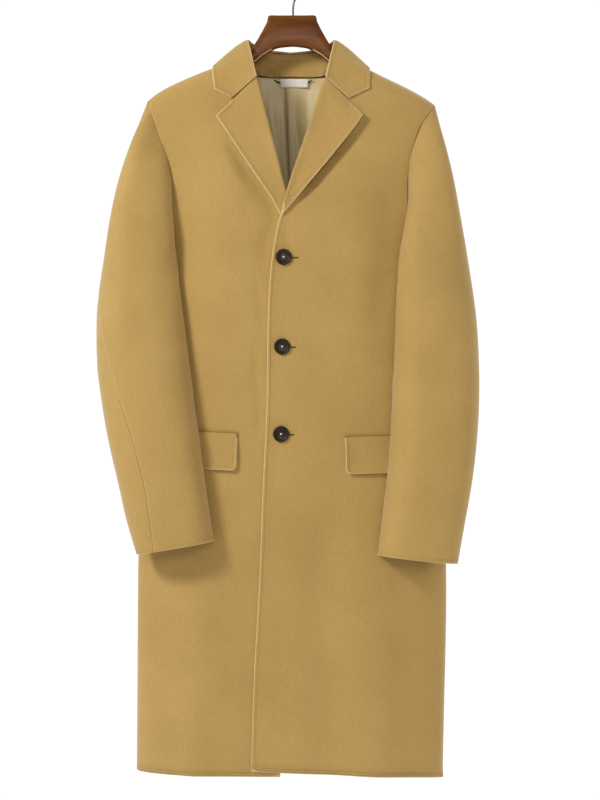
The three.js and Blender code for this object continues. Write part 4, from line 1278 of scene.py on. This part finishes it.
def make_hanger():
    shape = bmesh.new()
    columns = hanger_columns()
    front = []
    for x, top, low, half in columns:
        y = HANGER_Y if abs(x - HANGER_MIDDLE) < HEAD_END else ARM_Y
        front.append([shape.verts.new((x * MM, (y - half) * MM, z * MM)) for z in (low, top)])
    for here, ahead in zip(front, front[1:]):
        shape.faces.new((here[0], ahead[0], ahead[1], here[1]))
    made = bmesh.ops.extrude_face_region(shape, geom=shape.faces[:])
    rear = [item for item in made["geom"] if isinstance(item, bmesh.types.BMVert)]
    halves = [column[3] for column in columns for _ in (0, 1)]
    for vert, half in zip(sorted(rear, key=lambda v: v.co.x), halves):
        vert.co.y += 2 * half * MM
    bmesh.ops.recalc_face_normals(shape, faces=shape.faces)
    bmesh.ops.bevel(
        shape,
        geom=[e for e in shape.edges if e.calc_face_angle(0) > CHAMFER_ANGLE],
        affect="EDGES",
        offset=CHAMFER * MM,
        offset_type="OFFSET",
        segments=CHAMFER_STEPS,
        profile=0.5,
        material=-1,
    )
    mesh = bpy.data.meshes.new("hanger_wood")
    shape.to_mesh(mesh)
    shape.free()
    return link(mesh, "hanger_wood")


hanger = make_hanger()
shade_smooth(hanger.data)
hanger.data.set_sharp_from_angle(angle=SHARP_WOOD)
finish_piece(hanger, WOOD, "hanger_body")
print("hanger:", len(hanger.data.polygons), "faces")

# %% Paint a pale reflection on the arch's lower chamfer
REFLECTION_FROM = 31
REFLECTION_TO = 58
REFLECTION_DOWN = -0.3
REFLECTION_FRONT = -0.2
# Painted reflection: chamfer faces under the arch that face down and forward get the pale finish
hanger.data.materials.append(PAINTED_REFLECTION)
for face in hanger.data.polygons:
    out = abs(face.center.x / MM - HANGER_MIDDLE)
    chamfer = face.normal.z < REFLECTION_DOWN and face.normal.y < REFLECTION_FRONT
    if REFLECTION_FROM < out < REFLECTION_TO and chamfer:
        face.material_index = 1
print("worn faces:", sum(face.material_index for face in hanger.data.polygons))

# %% [markdown]
# ## The hook
# The hook is one thin darkened wire, bent round a bar. A curve with a bevel would make it too, but its
# solid has the bend already, so it is copied and smoothed, which also rounds its end.
# %% The metal and the hook
HOOK_RIM = math.radians(80)
HOOK_LEVELS = 2


def make_metal():
    metal = Finish("dark_steel")
    patina = metal.noise(160, 3)
    scratch = metal.noise(900, 2, stretch=(1, 1, 0.2))
    metal.colour(metal.mix(rgb(0.075, 0.062, 0.052), rgb(0.19, 0.165, 0.14), patina))
    metal.roughness(0.24 + scratch * 0.2)
    metal.constants(metallic=0.95)
    return metal.material


METAL = make_metal()
hook = smooth_copy("hanger_hook", "hook_wire", HOOK_LEVELS, rim_angle=HOOK_RIM)
finish_piece(hook, METAL, "hanger_hook")
print("hook:", len(hook.data.polygons), "faces")

# %% [markdown]
# ## The studio
# The shop photograph is lit softly, with white all round. A square soft light at the upper left is the
# key: it models the cloth and casts the shadows beside the lapels and under the cuffs. A weaker one
# straight ahead fills the neck opening, and a weak one from the right lights the far sleeve. The floor is
# plain and pale.
# %% The floor
FLOOR_Z = -1.75
FLOOR_HALF = 2.4


def make_floor():
    shape = bmesh.new()
    bmesh.ops.create_grid(shape, x_segments=8, y_segments=8, size=FLOOR_HALF)
    bmesh.ops.translate(shape, verts=shape.verts, vec=(0, 0, FLOOR_Z))
    mesh = bpy.data.meshes.new("floor")
    shape.to_mesh(mesh)
    shape.free()
    floor = link(mesh, "floor")
    pale = Finish("pale_floor")
    pale.colour(pale.mix(rgb(0.93, 0.93, 0.93), rgb(0.96, 0.96, 0.96), pale.noise(3)))
    pale.constants(roughness=0.9, specular_ior_level=0.1)
    floor.data.materials.append(pale.material)


make_floor()
print("floor:", 2 * FLOOR_HALF, "m wide")

# %% The lights
# Each row: its name, where it is, where it points, its size, its power in watts and its colour
LIGHTS = (
    ("key", (-1.75, -1.9, 0.8), (-0.1, 0, -0.4), (0.6, 0.6), 53, (1.0, 0.97, 0.91)),
    ("rim", (2.3, -0.5, -0.2), (0.1, 0, -0.5), (0.8, 1.6), 9, (1.0, 0.98, 0.94)),
    ("fill", (0.0, -4.0, 0.2), (0.0, 0, -0.2), (0.8, 0.8), 28, (1.0, 0.955, 0.88)),
)


def add_light(name, place, target, size, power, colour):
    lamp = bpy.data.lights.new(name, "AREA")
    lamp.shape = "RECTANGLE"
    lamp.size, lamp.size_y = size
    lamp.energy = power
    lamp.color = colour
    holder = bpy.data.objects.new(name, lamp)
    holder.location = place
    holder.rotation_euler = (Vector(target) - Vector(place)).to_track_quat("-Z", "Y").to_euler()
    bpy.context.collection.objects.link(holder)


for row in LIGHTS:
    add_light(*row)
print("lights:", len(LIGHTS))

# %% [markdown]
# ## The surround
# A white wall behind the coat would have to be lit by itself. The world's background does both: as a
# light it is white behind the coat and dim and warm in front of it, and a light path node makes it white
# wherever the camera sees it, so that the coat stands before white from every side.
# %% The surround
ROOM_LIGHT = 0.20
ROOM_TINT = (1.0, 0.74, 0.49)
WALL_LIGHT = 1.05
ROOM_END = -0.5
WALL_START = 0.3


def make_surround():
    world = bpy.data.worlds.new("white_surround")
    world.use_nodes = True
    nodes = world.node_tree.nodes
    links = world.node_tree.links
    way = nodes.new("ShaderNodeTexCoord")
    parts = nodes.new("ShaderNodeSeparateXYZ")
    links.new(way.outputs["Generated"], parts.inputs[0])
    ramp = nodes.new("ShaderNodeMapRange")
    ramp.interpolation_type = "SMOOTHSTEP"
    ramp.inputs["From Min"].default_value = ROOM_END
    ramp.inputs["From Max"].default_value = WALL_START
    links.new(parts.outputs["Y"], ramp.inputs["Value"])
    tint = nodes.new("ShaderNodeMix")
    tint.data_type = "RGBA"
    tint.inputs[6].default_value = [value * ROOM_LIGHT for value in ROOM_TINT] + [1.0]
    tint.inputs[7].default_value = rgb(WALL_LIGHT, WALL_LIGHT, WALL_LIGHT)
    seen = nodes.new("ShaderNodeLightPath")
    white = nodes.new("ShaderNodeMath")
    white.operation = "MAXIMUM"
    links.new(ramp.outputs["Result"], white.inputs[0])
    links.new(seen.outputs["Is Camera Ray"], white.inputs[1])
    links.new(white.outputs[0], tint.inputs[0])
    links.new(tint.outputs[2], nodes["Background"].inputs["Color"])
    nodes["Background"].inputs["Strength"].default_value = 1.0
    return world


scene = bpy.context.scene
scene.world = make_surround()
scene.view_settings.view_transform = "Standard"
print("the surround is white")

# %% [markdown]
# ## The camera
# The photograph is taken level with the middle of the coat and from some way off, so that the coat keeps
# its straight lines. A long lens 3.3 m in front of the coat does the same. The sensor's height is set,
# because the picture is upright.
# %% The camera
CAMERA = Vector((0.0105, -3.36, -0.657))
LENS = 99.0
SENSOR = 36.0
view = bpy.data.cameras.new("camera")
view.lens = LENS
view.sensor_fit = "VERTICAL"
view.sensor_height = SENSOR
camera = bpy.data.objects.new("camera", view)
camera.location = CAMERA
camera.rotation_euler = (math.pi / 2, 0, 0)
bpy.context.collection.objects.link(camera)
scene.camera = camera
print("the camera is", -CAMERA.y, "m in front of the hook")
